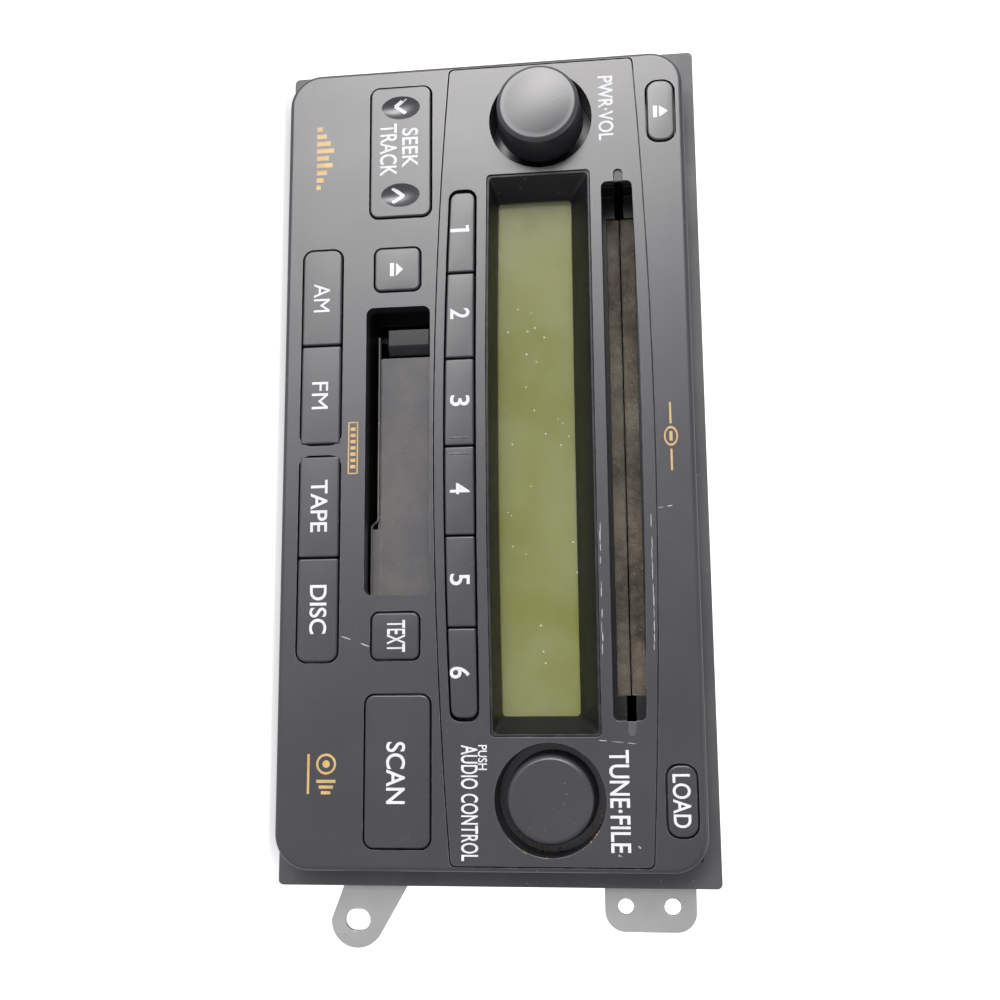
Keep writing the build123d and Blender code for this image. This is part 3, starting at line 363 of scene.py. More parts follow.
# every finish: colour, roughness, and how much grain, wear, dust and scratching it has
plain = {"metal": 0.0, "spread": 0.06, "grainScale": 3500.0, "bump": 0.15, "depth": 0.00003,
         "toneScale": 60.0, "variation": 0.10, "stretch": (1.0, 1.0, 1.0), "wear": 0.3, "wearWidth": 0.0003,
         "wearColour": (0.35, 0.35, 0.36), "dustScale": 2200.0, "specks": 0.02, "film": 0.03,
         "dustColour": (0.20, 0.19, 0.17), "dustRough": 0.12, "scratches": 0.0,
         "scratchColour": (0.45, 0.45, 0.46), "coat": 0.0, "coatRough": 0.2, "ior": 1.5}
finishes = {
    "charcoal_plastic": {"colour": (0.018, 0.018, 0.0215), "rough": 0.30, "spread": 0.015, "bump": 0.22,
                         "wear": 0.3, "specks": 0.012, "ior": 1.58},
    "button_plastic": {"colour": (0.017, 0.0175, 0.0205), "rough": 0.30, "spread": 0.015, "bump": 0.16,
                       "wear": 0.35, "ior": 1.58},
    "frame_plastic": {"colour": (0.036, 0.036, 0.039), "rough": 0.50, "bump": 0.25, "wear": 0.6, "film": 0.12},
    "black_plastic": {"colour": (0.007, 0.007, 0.008), "rough": 0.38, "bump": 0.12, "specks": 0.03,
                      "ior": 1.36, "film": 0.0, "spread": 0.02},
    "door_grey": {"colour": (0.039, 0.039, 0.043), "rough": 0.58, "bump": 0.25, "specks": 0.05, "film": 0.14,
                  "dustColour": (0.36, 0.30, 0.22)},
    "felt": {"colour": (0.066, 0.056, 0.041), "rough": 0.95, "grainScale": 1800.0, "bump": 1.0,
             "depth": 0.0005, "toneScale": 420.0, "variation": 0.62, "wear": 0.0, "dustScale": 5200.0,
             "specks": 0.35, "film": 0.35, "dustColour": (0.50, 0.45, 0.36)},
    "display_green": {"colour": (0.116, 0.127, 0.014), "rough": 0.5, "ior": 1.15, "grainScale": 900.0,
                      "bump": 0.0, "toneScale": 14.0, "variation": 0.05, "wear": 0.0, "dustScale": 1500.0,
                      "specks": 0.012, "film": 0.06, "dustColour": (0.55, 0.55, 0.38), "coat": 0.15,
                      "coatRough": 0.12},
    "board_green": {"colour": (0.02, 0.13, 0.05), "rough": 0.38, "toneScale": 300.0, "coat": 0.4},
    "switch_black": {"colour": (0.03, 0.03, 0.032), "rough": 0.45},
    "zinc_steel": {"colour": (0.36, 0.355, 0.345), "rough": 0.40, "metal": 0.9, "spread": 0.04,
                   "toneScale": 240.0, "variation": 0.05, "grainScale": 900.0, "bump": 0.10,
                   "wearColour": (0.75, 0.75, 0.74), "scratches": 0.10, "film": 0.03},
    "bright_steel": {"colour": (0.62, 0.62, 0.62), "rough": 0.24, "metal": 1.0, "grainScale": 1500.0,
                     "bump": 0.06, "wearColour": (0.8, 0.8, 0.8)},
    "aluminium": {"colour": (0.62, 0.62, 0.63), "rough": 0.42, "metal": 1.0, "grainScale": 120.0,
                  "stretch": (1.0, 1.0, 30.0), "bump": 0.12, "wearColour": (0.8, 0.8, 0.8)},
    "brass": {"colour": (0.60, 0.43, 0.16), "rough": 0.30, "metal": 1.0, "wearColour": (0.8, 0.65, 0.3)},
    "white_plastic": {"colour": (0.72, 0.71, 0.67), "rough": 0.42, "wearColour": (0.85, 0.84, 0.8)},
    "rubber": {"colour": (0.022, 0.022, 0.022), "rough": 0.75, "wear": 0.1, "film": 0.15},
    "nickel": {"colour": (0.66, 0.63, 0.57), "rough": 0.26, "metal": 1.0, "wearColour": (0.8, 0.78, 0.72)},
    "legendWhite": {"colour": (0.50, 0.51, 0.52), "rough": 0.55, "toneScale": 500.0, "variation": 0.16,
                    "wear": 0.0, "grainScale": 5000.0, "specks": 0.0, "film": 0.12,
                    "dustColour": (0.35, 0.35, 0.35)},
    "legendGold": {"colour": (0.40, 0.26, 0.095), "rough": 0.45, "toneScale": 500.0, "variation": 0.25,
                   "wear": 0.0, "specks": 0.0, "film": 0.1},
    "scuff": {"colour": (0.34, 0.34, 0.35), "rough": 0.7, "wear": 0.0, "specks": 0.0, "film": 0.3},
    "grime": {"colour": (0.20, 0.125, 0.065), "rough": 0.95, "bump": 0.7, "depth": 0.0002, "toneScale": 900.0,
              "variation": 0.45, "wear": 0.0, "specks": 0.12, "dustScale": 2500.0},
}


def makeFinish(name, changes):
    look = {**plain, **changes}
    material = bpy.data.materials.new(name)
    material.use_nodes = True
    tree = material.node_tree
    shader = tree.nodes["Principled BSDF"]
    place = tree.nodes.new("ShaderNodeTexCoord").outputs["Object"]
    stretched = tree.nodes.new("ShaderNodeMapping")
    stretched.inputs["Scale"].default_value = look["stretch"]
    tree.links.new(place, stretched.inputs["Vector"])
    tone = useGroup(tree, "tone", place, Colour=look["colour"], Scale=look["toneScale"],
                    Variation=look["variation"])
    grain = useGroup(tree, "grain", stretched.outputs["Vector"], Scale=look["grainScale"],
                     Roughness=look["rough"], Spread=look["spread"])
    dust = useGroup(tree, "dust", place, Scale=look["dustScale"], Specks=look["specks"], Film=look["film"])
    colour = tone.outputs["Colour"]
    if look["scratches"]:
        scratches = useGroup(tree, "scratches", place, Amount=look["scratches"])
        colour = blendColour(tree, scratches.outputs["Mask"], colour, look["scratchColour"])
    if look["wear"]:
        wear = useGroup(tree, "wear", place, Width=look["wearWidth"], Amount=look["wear"])
        colour = blendColour(tree, wear.outputs["Mask"], colour, look["wearColour"])
    colour = blendColour(tree, dust.outputs["Mask"], colour, look["dustColour"])
    tree.links.new(colour, shader.inputs["Base Color"])
    dusty = maths(tree, "MULTIPLY", dust.outputs["Mask"], look["dustRough"])
    rough = maths(tree, "ADD", grain.outputs["Roughness"], dusty, True)
    tree.links.new(rough, shader.inputs["Roughness"])
    bump = tree.nodes.new("ShaderNodeBump")
    bump.inputs["Strength"].default_value = look["bump"]
    bump.inputs["Distance"].default_value = look["depth"]
    tree.links.new(grain.outputs["Height"], bump.inputs["Height"])
    tree.links.new(bump.outputs["Normal"], shader.inputs["Normal"])
    shader.inputs["Metallic"].default_value = look["metal"]
    shader.inputs["IOR"].default_value = look["ior"]
    shader.inputs["Coat Weight"].default_value = look["coat"]
    shader.inputs["Coat Roughness"].default_value = look["coatRough"]
    return material


windowLook = {"tone": {"Colour": (0.55, 0.56, 0.52), "Scale": 40.0, "Variation": 0.1},
              "grain": {"Scale": 600.0, "Roughness": 0.08, "Spread": 0.04},
              "dust": {"Scale": 1300.0, "Specks": 0.012, "Film": 0.06}, "dustHaze": 0.6, "haze": 0.03}


def makeWindow():
    # clear window with a little haze and dust, seen more where it is dusty
    material = bpy.data.materials.new("clear_window")
    material.use_nodes = True
    tree = material.node_tree
    shader = tree.nodes["Principled BSDF"]
    place = tree.nodes.new("ShaderNodeTexCoord").outputs["Object"]
    tone = useGroup(tree, "tone", place, **windowLook["tone"])
    grain = useGroup(tree, "grain", place, **windowLook["grain"])
    dust = useGroup(tree, "dust", place, **windowLook["dust"])
    tree.links.new(tone.outputs["Colour"], shader.inputs["Base Color"])
    tree.links.new(grain.outputs["Roughness"], shader.inputs["Roughness"])
    dusty = maths(tree, "MULTIPLY", dust.outputs["Mask"], windowLook["dustHaze"])
    haze = maths(tree, "ADD", dusty, windowLook["haze"], True)
    tree.links.new(haze, shader.inputs["Alpha"])
    return material


materials = {name: makeFinish(name, changes) for name, changes in finishes.items()}
materials["clear_window"] = makeWindow()
slotOf = {}
for part in frame["record"]["subparts"]:
    node = part["node"]
    slotOf[node] = part["material_slot"]
    frame["nodes"][node].data.materials.clear()
    frame["nodes"][node].data.materials.append(materials[slotOf[node]])
bodyOf = {node: body for body, members in frame["record"]["behaviour"]["bodies"].items() for node in members}
print("finishes made:", len(materials))


def paint(obj, name):
    obj.data.materials.clear()
    obj.data.materials.append(materials[name])


def standFor(obj, node):
    # obj is shown in the node's place, with its finish, on its body
    paint(obj, slotOf[node])
    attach(obj, bodyOf[node])
    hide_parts(node)
    return obj


# the outer mouldings and the steelwork: rounded copies of the CAD shapes
rounding = {"fascia_bezel": 0.25, "centre_panel": 0.16, "rear_frame": 0.25, "disc_guide": 0.2,
            "cassette_guide": 0.2, "door_lever": 0.35, "side_bracket": 0.15, "chassis_tray": 0.12,
            "top_cover": 0.12, "rear_panel": 0.12, "heat_sink": 0.2, "rear_connector": 0.2,
            "antenna_socket": 0.25, "seek_rocker": 0.28}
for node, width in rounding.items():
    standFor(softCopy(node, node + "_shown", width * mm), node)
print("mouldings and steelwork done")


def bevelAlong(obj, chosen, offset, segments):
    editWith(obj, "EDGE", chosen)
    bpy.ops.mesh.bevel(offset=offset, segments=segments, affect="EDGES", profile=0.5)
    editDone()


def uprightEdge(obj, x):
    # chooses the edges that run into the radio at one x
    points = obj.data.vertices

    def chosen(edge):
        a, b = (points[i].co for i in edge.vertices)
        return abs(a.y - b.y) > mm and abs(a.x - x) < 0.01 * mm and abs(b.x - x) < 0.01 * mm
    return chosen


# buttons: a cap with soft edges and a slightly crowned face, its flange and its stem
capLook = {"wall": 4.4 * mm, "edge": 0.42 * mm, "rise": 0.09 * mm, "flange": 0.7 * mm, "flangeBack": 4.6 * mm,
           "flangeThick": 1.1 * mm, "stem": 4.0 * mm, "stemBack": 4.0 * mm, "soft": 0.2 * mm}


def roundCap(name, low, high, leftCorner, rightCorner):
    # a block with rounded upright edges, a rounded front edge and a face that rises a little to its middle
    cap = addCube(name, low, high)
    for x, corner in ((low[0], leftCorner), (high[0], rightCorner)):
        bevelAlong(cap, uprightEdge(cap, x), corner, 8 if corner > mm else 4)
    roundEdges(cap, capLook["edge"], 4, 60)
    for part in (0.25, 0.5, 0.75):
        for along in (0, 2):
            where = [0, 0, 0]
            where[along] = low[along] + (high[along] - low[along]) * part
            editWith(cap, "VERT", lambda v: True)
            bpy.ops.mesh.bisect(plane_co=where, plane_no=(along == 0, 0, along == 2))
            editDone()
    for point in cap.data.vertices:
        if point.co.y < low[1] + 0.01 * mm:
            across = abs(2 * (point.co.x - low[0]) / (high[0] - low[0]) - 1)
            up = abs(2 * (point.co.z - low[2]) / (high[2] - low[2]) - 1)
            point.co.y -= capLook["rise"] * (1 - across ** 4) * (1 - up ** 2)
    return cap


# each one's left and right flange and left and right corner, in millimetres
caps = {"am_button": (1.1, 0.0, 2.3, 0.6), "fm_button": (0.0, 1.1, 0.6, 0.6),
        "tape_button": (1.1, 0.0, 0.6, 0.6), "disc_button": (0.0, 1.1, 0.6, 2.3),
        "scan_button": (1.1, 1.1, 2.1, 2.1), "text_button": (1.1, 1.1, 1.6, 1.6),
        "tape_eject_button": (1.1, 1.1, 1.6, 1.6), "disc_eject_button": (1.1, 1.1, 2.6, 2.6),
        "load_button": (1.1, 1.1, 2.6, 2.6)}
for node, (leftFlange, rightFlange, leftCorner, rightCorner) in caps.items():
    low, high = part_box(node)
    capLow = (low.x + leftFlange * mm, low.y + capLook["rise"], low.z + capLook["flange"])
    capHigh = (high.x - rightFlange * mm, low.y + capLook["wall"], high.z - capLook["flange"])
    cap = roundCap(node + "_shown", capLow, capHigh, leftCorner * mm, rightCorner * mm)
    flangeFront = low.y + capLook["flangeBack"]
    flange = addCube("flange", (low.x, flangeFront, low.z),
                     (high.x, flangeFront + capLook["flangeThick"], high.z))
    middle = [(a + b) / 2 for a, b in zip(capLow, capHigh)]
    half = capLook["stem"] / 2
    stem = addCube("stem", (middle[0] - half, low.y + capLook["stemBack"], middle[2] - half),
                   (middle[0] + half, high.y, middle[2] + half))
    for piece in (flange, stem):
        roundEdges(piece, capLook["soft"], 2)
    cap = joinAll([cap, flange, stem], node + "_shown")
    smooth(cap)
    evenNormals(cap)
    standFor(cap, node)


def bendRow(obj, half, low, high, lowBow, highBow):
    # cuts the piece across and lifts it so that its long edges follow shallow arcs
    first = min(v.co.x for v in obj.data.vertices)
    last = max(v.co.x for v in obj.data.vertices)
    cuts = max(6, round((last - first) / (4 * mm)))
    for cut in range(1, cuts):
        editWith(obj, "VERT", lambda v: True)
        bpy.ops.mesh.bisect(plane_co=(first + (last - first) * cut / cuts, 0, 0), plane_no=(1, 0, 0))
        editDone()
    for point in obj.data.vertices:
        share = (point.co.z - low) / (high - low)
        point.co.z += ((1 - share) * lowBow + share * highBow) * (point.co.x / half) ** 2


presets = [f"preset_button_{number}" for number in range(1, 7)]
row = {"half": 62.6 * mm, "flange": 0.3 * mm, "gap": 0.4 * mm, "lowBow": 1.57 * mm, "highBow": 0.55 * mm,
       "corner": 2.0, "inner": 0.45, "wall": 3.0 * mm, "stemBack": 2.9 * mm, "stemLow": 1.5 * mm,
       "stemHigh": 5.5 * mm, "ridgeIn": 1.75 * mm, "ridgeHalf": 0.18 * mm, "ridgeProud": 0.1 * mm,
       "ridgeDeep": 0.6 * mm, "ridgeEnd": 1.2 * mm, "ridgeRound": 0.12 * mm}
rowLow = min(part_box(node)[0].z for node in presets) + row["flange"] + row["gap"]
rowHigh = max(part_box(node)[1].z for node in presets) - row["flange"] - row["gap"] - row["highBow"]
for number, node in enumerate(presets):
    low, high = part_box(node)
    leftFlange = row["flange"] + row["gap"] if number == 0 else 0
    rightFlange = row["flange"] + row["gap"] if number == 5 else 0
    cap = roundCap(node + "_shown", (low.x + leftFlange, low.y + capLook["rise"], rowLow),
                   (high.x - rightFlange, low.y + row["wall"], rowHigh),
                   (row["corner"] if number == 0 else row["inner"]) * mm,
                   (row["corner"] if number == 5 else row["inner"]) * mm)
    bendRow(cap, row["half"], rowLow, rowHigh, row["lowBow"], row["highBow"])
    half = capLook["stem"] / 2
    middle = (low.x + high.x) / 2
    stem = addCube("stem", (middle - half, low.y + row["stemBack"], rowLow + row["stemLow"]),
                   (middle + half, high.y, rowLow + row["stemHigh"]))
    pieces = [cap, stem]
    if number in (2, 3):
        # a raised line between 3 and 4 that a finger can find
        x = high.x - row["ridgeIn"] if number == 2 else low.x + row["ridgeIn"]
        ridge = addCube("ridge", (x - row["ridgeHalf"], low.y - row["ridgeProud"], rowLow + row["ridgeEnd"]),
                        (x + row["ridgeHalf"], low.y + row["ridgeDeep"], rowHigh - row["ridgeEnd"]))
        roundEdges(ridge, row["ridgeRound"], 3)
        pieces.append(ridge)
    cap = joinAll(pieces, node + "_shown")
    smooth(cap)
    evenNormals(cap)
    standFor(cap, node)
print("buttons done")

# knobs, turned: a shallow dish, a bright bevel, a slightly drafted side and a hollow back
knobLook = {"dish": 0.12 * mm, "flat": 8.5 * mm, "crest": 8.75 * mm, "chamfer": 0.8 * mm, "wall": 2.0 * mm,
            "shaft": 3.0 * mm, "foot": 0.35 * mm, "draft": 0.65 * mm, "length": 9.9 * mm, "steps": 144}
for node in ("volume_knob", "tune_knob"):
    low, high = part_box(node)
    k = knobLook
    base = (high.x - low.x) / 2
    top = base - k["draft"]
    back = high.y - low.y
    dish = k["dish"] if node == "tune_knob" else -4 * k["dish"]
    profile = [(0, dish), (4.5 * mm, 0.75 * dish), (7.4 * mm, 0.25 * dish), (k["flat"], 0.01 * mm),
               (k["crest"], 0), (k["crest"] + 0.2 * mm, 0.06 * mm),
               (top - 0.22 * mm, k["chamfer"] - 0.24 * mm),
               (top - 0.05 * mm, k["chamfer"] - 0.02 * mm), (top, k["chamfer"] + 0.15 * mm),
               (base - 0.05 * mm, k["length"] - 1.6 * k["foot"]), (base, k["length"] - k["foot"]),
               (base - 0.12 * mm, k["length"]), (base - k["wall"], k["length"]), (top - k["wall"], k["wall"]),
               (k["shaft"], k["wall"]), (k["shaft"], back), (0, back)]
    turned = lathe(node + "_shown", profile, ((low.x + high.x) / 2, low.y, (low.z + high.z) / 2), k["steps"])
    smooth(turned, 40)
    evenNormals(turned)
    standFor(turned, node)
print("knobs done")

# the sloped frame round the display
maskLook = {"rim": 0.45 * mm, "depth": 6.9 * mm, "side": 3.8 * mm, "lowSlope": 1.45 * mm,
            "highSlope": 4.4 * mm, "corner": 0.9 * mm, "half": 66.4 * mm, "lowBow": 0.7 * mm, "lip": 0.7 * mm,
            "soft": 0.12 * mm, "backGap": 0.3 * mm}
low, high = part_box("display_mask")
m = maskLook
mask = addCube("display_mask_shown", low, (high.x, high.y - m["backGap"], high.z))
editWith(mask, "FACE", lambda f: f.normal.y < -0.99)
bpy.ops.mesh.inset(thickness=m["rim"], depth=0)
innerWide = high.x - low.x - 2 * m["rim"]
innerHigh = high.z - low.z - 2 * m["rim"]
shift = (m["lowSlope"] - m["highSlope"]) / 2
bpy.ops.mesh.extrude_region_move(TRANSFORM_OT_translate={"value": (0, m["depth"], shift)})
narrower = 1 - 2 * m["side"] / innerWide
lower = 1 - (m["lowSlope"] + m["highSlope"]) / innerHigh
bpy.ops.transform.resize(value=(narrower, 1, lower))
editDone()
floorY = low.y + m["depth"]


def slopedCorner(edge):
    a, b = (mask.data.vertices[i].co for i in edge.vertices)
    near = min(abs(a.y - low.y), abs(b.y - low.y)) < 0.01 * mm
    deep = max(abs(a.y - low.y), abs(b.y - low.y)) > m["depth"] - 0.01 * mm
    return near and deep and abs(a.y - b.y) < m["depth"] + 0.01 * mm and abs(a.x) < high.x - 0.1 * mm


bevelAlong(mask, slopedCorner, m["corner"], 5)
editWith(mask, "FACE", lambda f: f.normal.y < -0.99 and f.center.y > floorY - 0.01 * mm)
bpy.ops.mesh.extrude_region_move(TRANSFORM_OT_translate={"value": (0, m["lip"], 0)})
bpy.ops.mesh.delete(type="FACE")
editDone()
editWith(mask, "FACE", lambda f: f.normal.y > 0.99)
bpy.ops.mesh.delete(type="FACE")
editDone()
pick(mask)
bpy.ops.object.mode_set(mode="EDIT")
bpy.ops.mesh.select_mode(type="EDGE")
bpy.ops.mesh.select_all(action="DESELECT")
bpy.ops.mesh.select_non_manifold()
bpy.ops.mesh.bridge_edge_loops()
bpy.ops.mesh.select_all(action="SELECT")
bpy.ops.mesh.normals_make_consistent(inside=False)
editDone()
roundEdges(mask, m["soft"], 3)
bendRow(mask, m["half"], low.z, high.z, m["lowBow"], 0)
smooth(mask)
standFor(mask, "display_mask")
print("display frame done")

# the cassette door: a plate with a thin lip along its lower edge that steps down towards the right
doorLook = {"front": 0.7 * mm, "thick": 1.2 * mm, "lip": 0.42 * mm, "proud": 0.16 * mm, "groove": 0.42 * mm,
            "grooveDepth": 0.7 * mm, "step": 1.5 * mm, "stepX": 16.3 * mm, "slant": 1.3 * mm,
            "lipLeft": -28.5 * mm, "knuckle": 1.3 * mm, "pin": 0.9 * mm, "hingeDown": 1.3 * mm,
            "leverGap": 0.6 * mm, "rightGap": 2.1 * mm, "aboveLever": 11 * mm, "soft": 0.12 * mm}
low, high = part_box("cassette_door")
d = doorLook
front = low.y + d["front"]
back = front + d["thick"]
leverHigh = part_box("door_lever")[1]
doorLeft = leverHigh.x + d["leverGap"]
doorRight = high.x - d["rightGap"]
hingeZ = high.z - d["hingeDown"]
upper = low.z + d["step"]
plateLow = upper + d["lip"] + d["groove"]
bars = [((doorLeft, front, plateLow), (doorRight, back, hingeZ)),
        ((d["lipLeft"], front - d["proud"], upper), (d["stepX"], back, upper + d["lip"])),
        ((doorLeft, front + d["grooveDepth"], upper), (d["stepX"] + 2.2 * mm, back, plateLow + 0.2 * mm)),
        ((d["stepX"] + 2.1 * mm, front, low.z + d["lip"]), (doorRight, back, plateLow + 0.2 * mm)),
        ((d["stepX"] + d["slant"], front - d["proud"], low.z), (doorRight, back, low.z + d["lip"])),
        ((doorLeft - d["aboveLever"], front, leverHigh.z), (doorLeft + 0.2 * mm, back, hingeZ))]
plates = [addCube("plate", a, b) for a, b in bars]
hook = addCube("hook", (d["stepX"] - 0.05 * mm, front - d["proud"], upper),
               (d["stepX"] + d["slant"] + 0.05 * mm, back, upper + d["lip"]))
for point in hook.data.vertices:
    if point.co.x > d["stepX"] + 0.5 * mm:
        point.co.z -= d["step"]
plates.append(hook)
for plate in plates:
    roundEdges(plate, d["soft"], 3)
for radius, left, right in ((d["knuckle"], doorLeft - d["aboveLever"], doorRight), (d["pin"], low.x, high.x)):
    deselectAll()
    bpy.ops.mesh.primitive_cylinder_add(vertices=32, radius=radius, depth=right - left,
                                        location=((left + right) / 2, front + d["thick"] / 2, hingeZ),
                                        rotation=(0, math.pi / 2, 0))
    rod = bpy.context.object
    settle(rod)
    roundEdges(rod, 0.1 * mm, 2)
    plates.append(rod)
door = joinAll(plates, "cassette_door_shown")
smooth(door)
evenNormals(door)
standFor(door, "cassette_door")
print("cassette door done")

# felt lips: fuzzy strips whose slit edges curl in
feltLook = {"across": 420, "up": 14, "fuzz": 0.5 * mm, "clump": 0.42 * mm, "curl": 0.7 * mm,
            "curlShare": 0.35, "slit": 0.15 * mm, "slotUp": 0.175 * mm, "back": 0.3 * mm, "thick": 0.8 * mm,
            "fibres": 650, "root": 0.055 * mm, "tip": 0.01 * mm, "shortest": 0.5, "longest": 1.5}
low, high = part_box("disc_felts")
slotMiddle = (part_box("disc_guide")[0].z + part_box("disc_guide")[1].z) / 2 + feltLook["slotUp"]
fuzz = bpy.data.textures.new("fuzz", "CLOUDS")
fuzz.noise_scale = feltLook["clump"]
fuzz.noise_depth = 4
lips = []
for side in (-1, 1):
    if side < 0:
        zFrom, zTo = low.z, slotMiddle - feltLook["slit"]
    else:
        zFrom, zTo = slotMiddle + feltLook["slit"], high.z
    middle = ((low.x + high.x) / 2, low.y + feltLook["back"], (zFrom + zTo) / 2)
    deselectAll()
    bpy.ops.mesh.primitive_grid_add(x_subdivisions=feltLook["across"], y_subdivisions=feltLook["up"],
                                    size=1, location=middle, rotation=(math.pi / 2, 0, 0))
    lip = bpy.context.object
    lip.name = "lip"
    lip.scale = (high.x - low.x, zTo - zFrom, 1)
    settle(lip)
    fluff = lip.modifiers.new("fluff", "DISPLACE")
    fluff.texture = fuzz
    fluff.texture_coords = "LOCAL"
    fluff.strength = feltLook["fuzz"]
    fluff.mid_level = 0.5
    applyAll(lip)
    for point in lip.data.vertices:
        toSlit = abs(point.co.z - slotMiddle) / (zTo - zFrom)
        point.co.y += feltLook["curl"] * max(0.0, 1 - toSlit / feltLook["curlShare"]) ** 2
    body = lip.modifiers.new("body", "SOLIDIFY")
    body.thickness = feltLook["thick"]
    body.offset = -1
    applyAll(lip)
    lips.append(lip)
rng = random.Random(11)
fibres = []
for number in range(feltLook["fibres"]):
    deselectAll()
    x = rng.uniform(low.x + mm, high.x - mm)
    z = rng.uniform(low.z + 0.3 * mm, high.z - 0.3 * mm)
    bpy.ops.mesh.primitive_cone_add(vertices=3, radius1=feltLook["root"], radius2=feltLook["tip"],
                                    depth=rng.uniform(feltLook["shortest"], feltLook["longest"]) * mm,
                                    location=(x, low.y + rng.uniform(0.05, 0.3) * mm, z),
                                    rotation=(rng.uniform(0.9, 1.5), 0, rng.uniform(0, 6.28)))
    fibres.append(bpy.context.object)
felts = joinAll(lips + fibres, "disc_felts_shown")
settle(felts)
smooth(felts, 60)
standFor(felts, "disc_felts")
print("felts done")

# screws: the copied shape with a cross recess in every head
screws = softCopy("chassis_screws", "chassis_screws_shown", 0.2 * mm)
recess = {"long": 2.9 * mm, "wide": 0.62 * mm, "deep": 1.1 * mm, "headArea": 12 * mm * mm, "outside": 0.088}
cutters = []
for face in list(screws.data.polygons):
    outwards = face.center.x * face.normal.x
    if abs(face.normal.x) > 0.99 and face.area > recess["headArea"] and outwards > recess["outside"]:
        for tall, across in ((recess["long"], recess["wide"]), (recess["wide"], recess["long"])):
            half = Vector((recess["deep"], across / 2, tall / 2))
            cutters.append(addCube("cutter", face.center - half, face.center + half))
if cutters:
    cutter = joinAll(cutters, "cutter")
    cut = screws.modifiers.new("cut", "BOOLEAN")
    cut.object = cutter
    cut.use_self = True
    applyAll(screws)
    bpy.data.objects.remove(cutter)
    smooth(screws)
standFor(screws, "chassis_screws")
print("screws done:", len(cutters) // 2, "heads")


# printed marks: plain words, digits and signs, laid on the surface behind them
markLook = {"lift": 0.02 * mm, "weight": 0.012, "front": -0.16, "step": 0.5 * mm}


def wordShape(words):
    deselectAll()
    bpy.ops.object.text_add()
    bpy.context.object.data.body = words
    # thickened letters break up when the word has an M in it
    bpy.context.object.data.offset = 0 if "M" in words else markLook["weight"]
    bpy.ops.object.convert(target="MESH")
    return bpy.context.object


def barShape():
    deselectAll()
    bpy.ops.mesh.primitive_plane_add(size=1)
    return bpy.context.object


def roundShape(corners, turn=0.0, band=0.0):
    # a filled polygon or disc, or a ring when a band is given
    deselectAll()
    bpy.ops.mesh.primitive_circle_add(vertices=corners, radius=1, fill_type="NGON", rotation=(0, 0, turn))
    shape = bpy.context.object
    settle(shape)
    if band:
        editWith(shape, "FACE", lambda f: True)
        bpy.ops.mesh.inset(thickness=band)
        bpy.ops.mesh.delete(type="FACE")
        editDone()
    return shape


def chevronShape(sign):
    # two strokes that meet in a point
    strokes = []
    for side in (-1, 1):
        stroke = barShape()
        stroke.scale = (1.25, 0.34, 1)
        stroke.rotation_euler = (0, 0, -side * sign * 0.85)
        stroke.location = (side * 0.38, 0, 0)
        settle(stroke)
        strokes.append(stroke)
    return joinAll(strokes, "chevron")


def fitMark(mark, x, z, wide, high):
    # turns the flat mark to face forwards and fits it to its place, given in millimetres
    across = [point.co.x for point in mark.data.vertices]
    up = [point.co.y for point in mark.data.vertices]
    middle = ((min(across) + max(across)) / 2, (min(up) + max(up)) / 2)
    reach = (max(across) - min(across), max(up) - min(up))
    for point in mark.data.vertices:
        share = ((point.co.x - middle[0]) / reach[0], (point.co.y - middle[1]) / reach[1])
        point.co = ((x + share[0] * wide) * mm, markLook["front"], (z + share[1] * high) * mm)
    return mark


def layOn(mark, node, lift=markLook["lift"]):
    # each point of the mark comes to rest just in front of the surface
    editWith(mark, "FACE", lambda f: True)
    bpy.ops.mesh.subdivide(number_cuts=2)
    editDone()
    names = ("fascia_bezel", "centre_panel") if node in ("fascia_bezel", "centre_panel") else (node,)
    bpy.context.view_layer.update()
    depths = []
    for point in mark.data.vertices:
        start = (point.co.x, markLook["front"], point.co.z)
        casts = [bpy.data.objects[name + "_shown"].ray_cast(start, (0, 1, 0)) for name in names]
        depths.append(min((spot.y for hit, spot, *rest in casts if hit), default=None))
    known = [depth for depth in depths if depth is not None]
    usual = sorted(known)[len(known) // 2]
    for point, depth in zip(mark.data.vertices, depths):
        near = depth is not None and abs(depth - usual) < markLook["step"]
        point.co.y = (depth if near else usual) - lift
    return mark


# the words: text, middle across and up, width and height, in millimetres
white = {
    "am_button": [("AM", -37.34, 10.75, 7.03, 3.94)], "fm_button": [("FM", -13.24, 10.66, 6.59, 3.89)],
    "tape_button": [("TAPE", 13.27, 10.88, 12.30, 4.0)], "disc_button": [("DISC", 37.39, 11.05, 11.26, 4.0)],
    "seek_rocker": [("SEEK", -74.50, 32.10, 10.12, 3.96), ("TRACK", -74.22, 26.77, 13.52, 4.2)],
    "text_button": [("TEXT", 43.72, 29.37, 7.23, 4.17)], "scan_button": [("SCAN", 74.10, 29.44, 13.51, 4.32)],
    "load_button": [("LOAD", 80.03, 92.52, 11.35, 3.85)],
    "centre_panel": [("TUNE·FILE", 80.16, 79.16, 21.83, 4.34), ("PWR·VOL", -81.73, 79.68, 16.44, 3.58)],
    "fascia_bezel": [("AUDIO CONTROL", 80.55, 46.03, 24.94, 3.80), ("PUSH", 70.81, 48.99, 5.43, 2.02)],
}
for number, x in enumerate((-31.9, -10.75, 10.1, 31.1, 52.1), start=2):
    white[f"preset_button_{number}"] = [(str(number), x, 44.35 - 0.06 * number, 2.6, 4.6)]
marks = {}


def keepMark(mark, node, finish):
    marks.setdefault((node, finish), []).append(mark)


for node, words in white.items():
    for text, x, z, wide, high in words:
        mark = fitMark(wordShape(text), x, z, wide, high)
        keepMark(layOn(mark, node), node, "legendWhite")
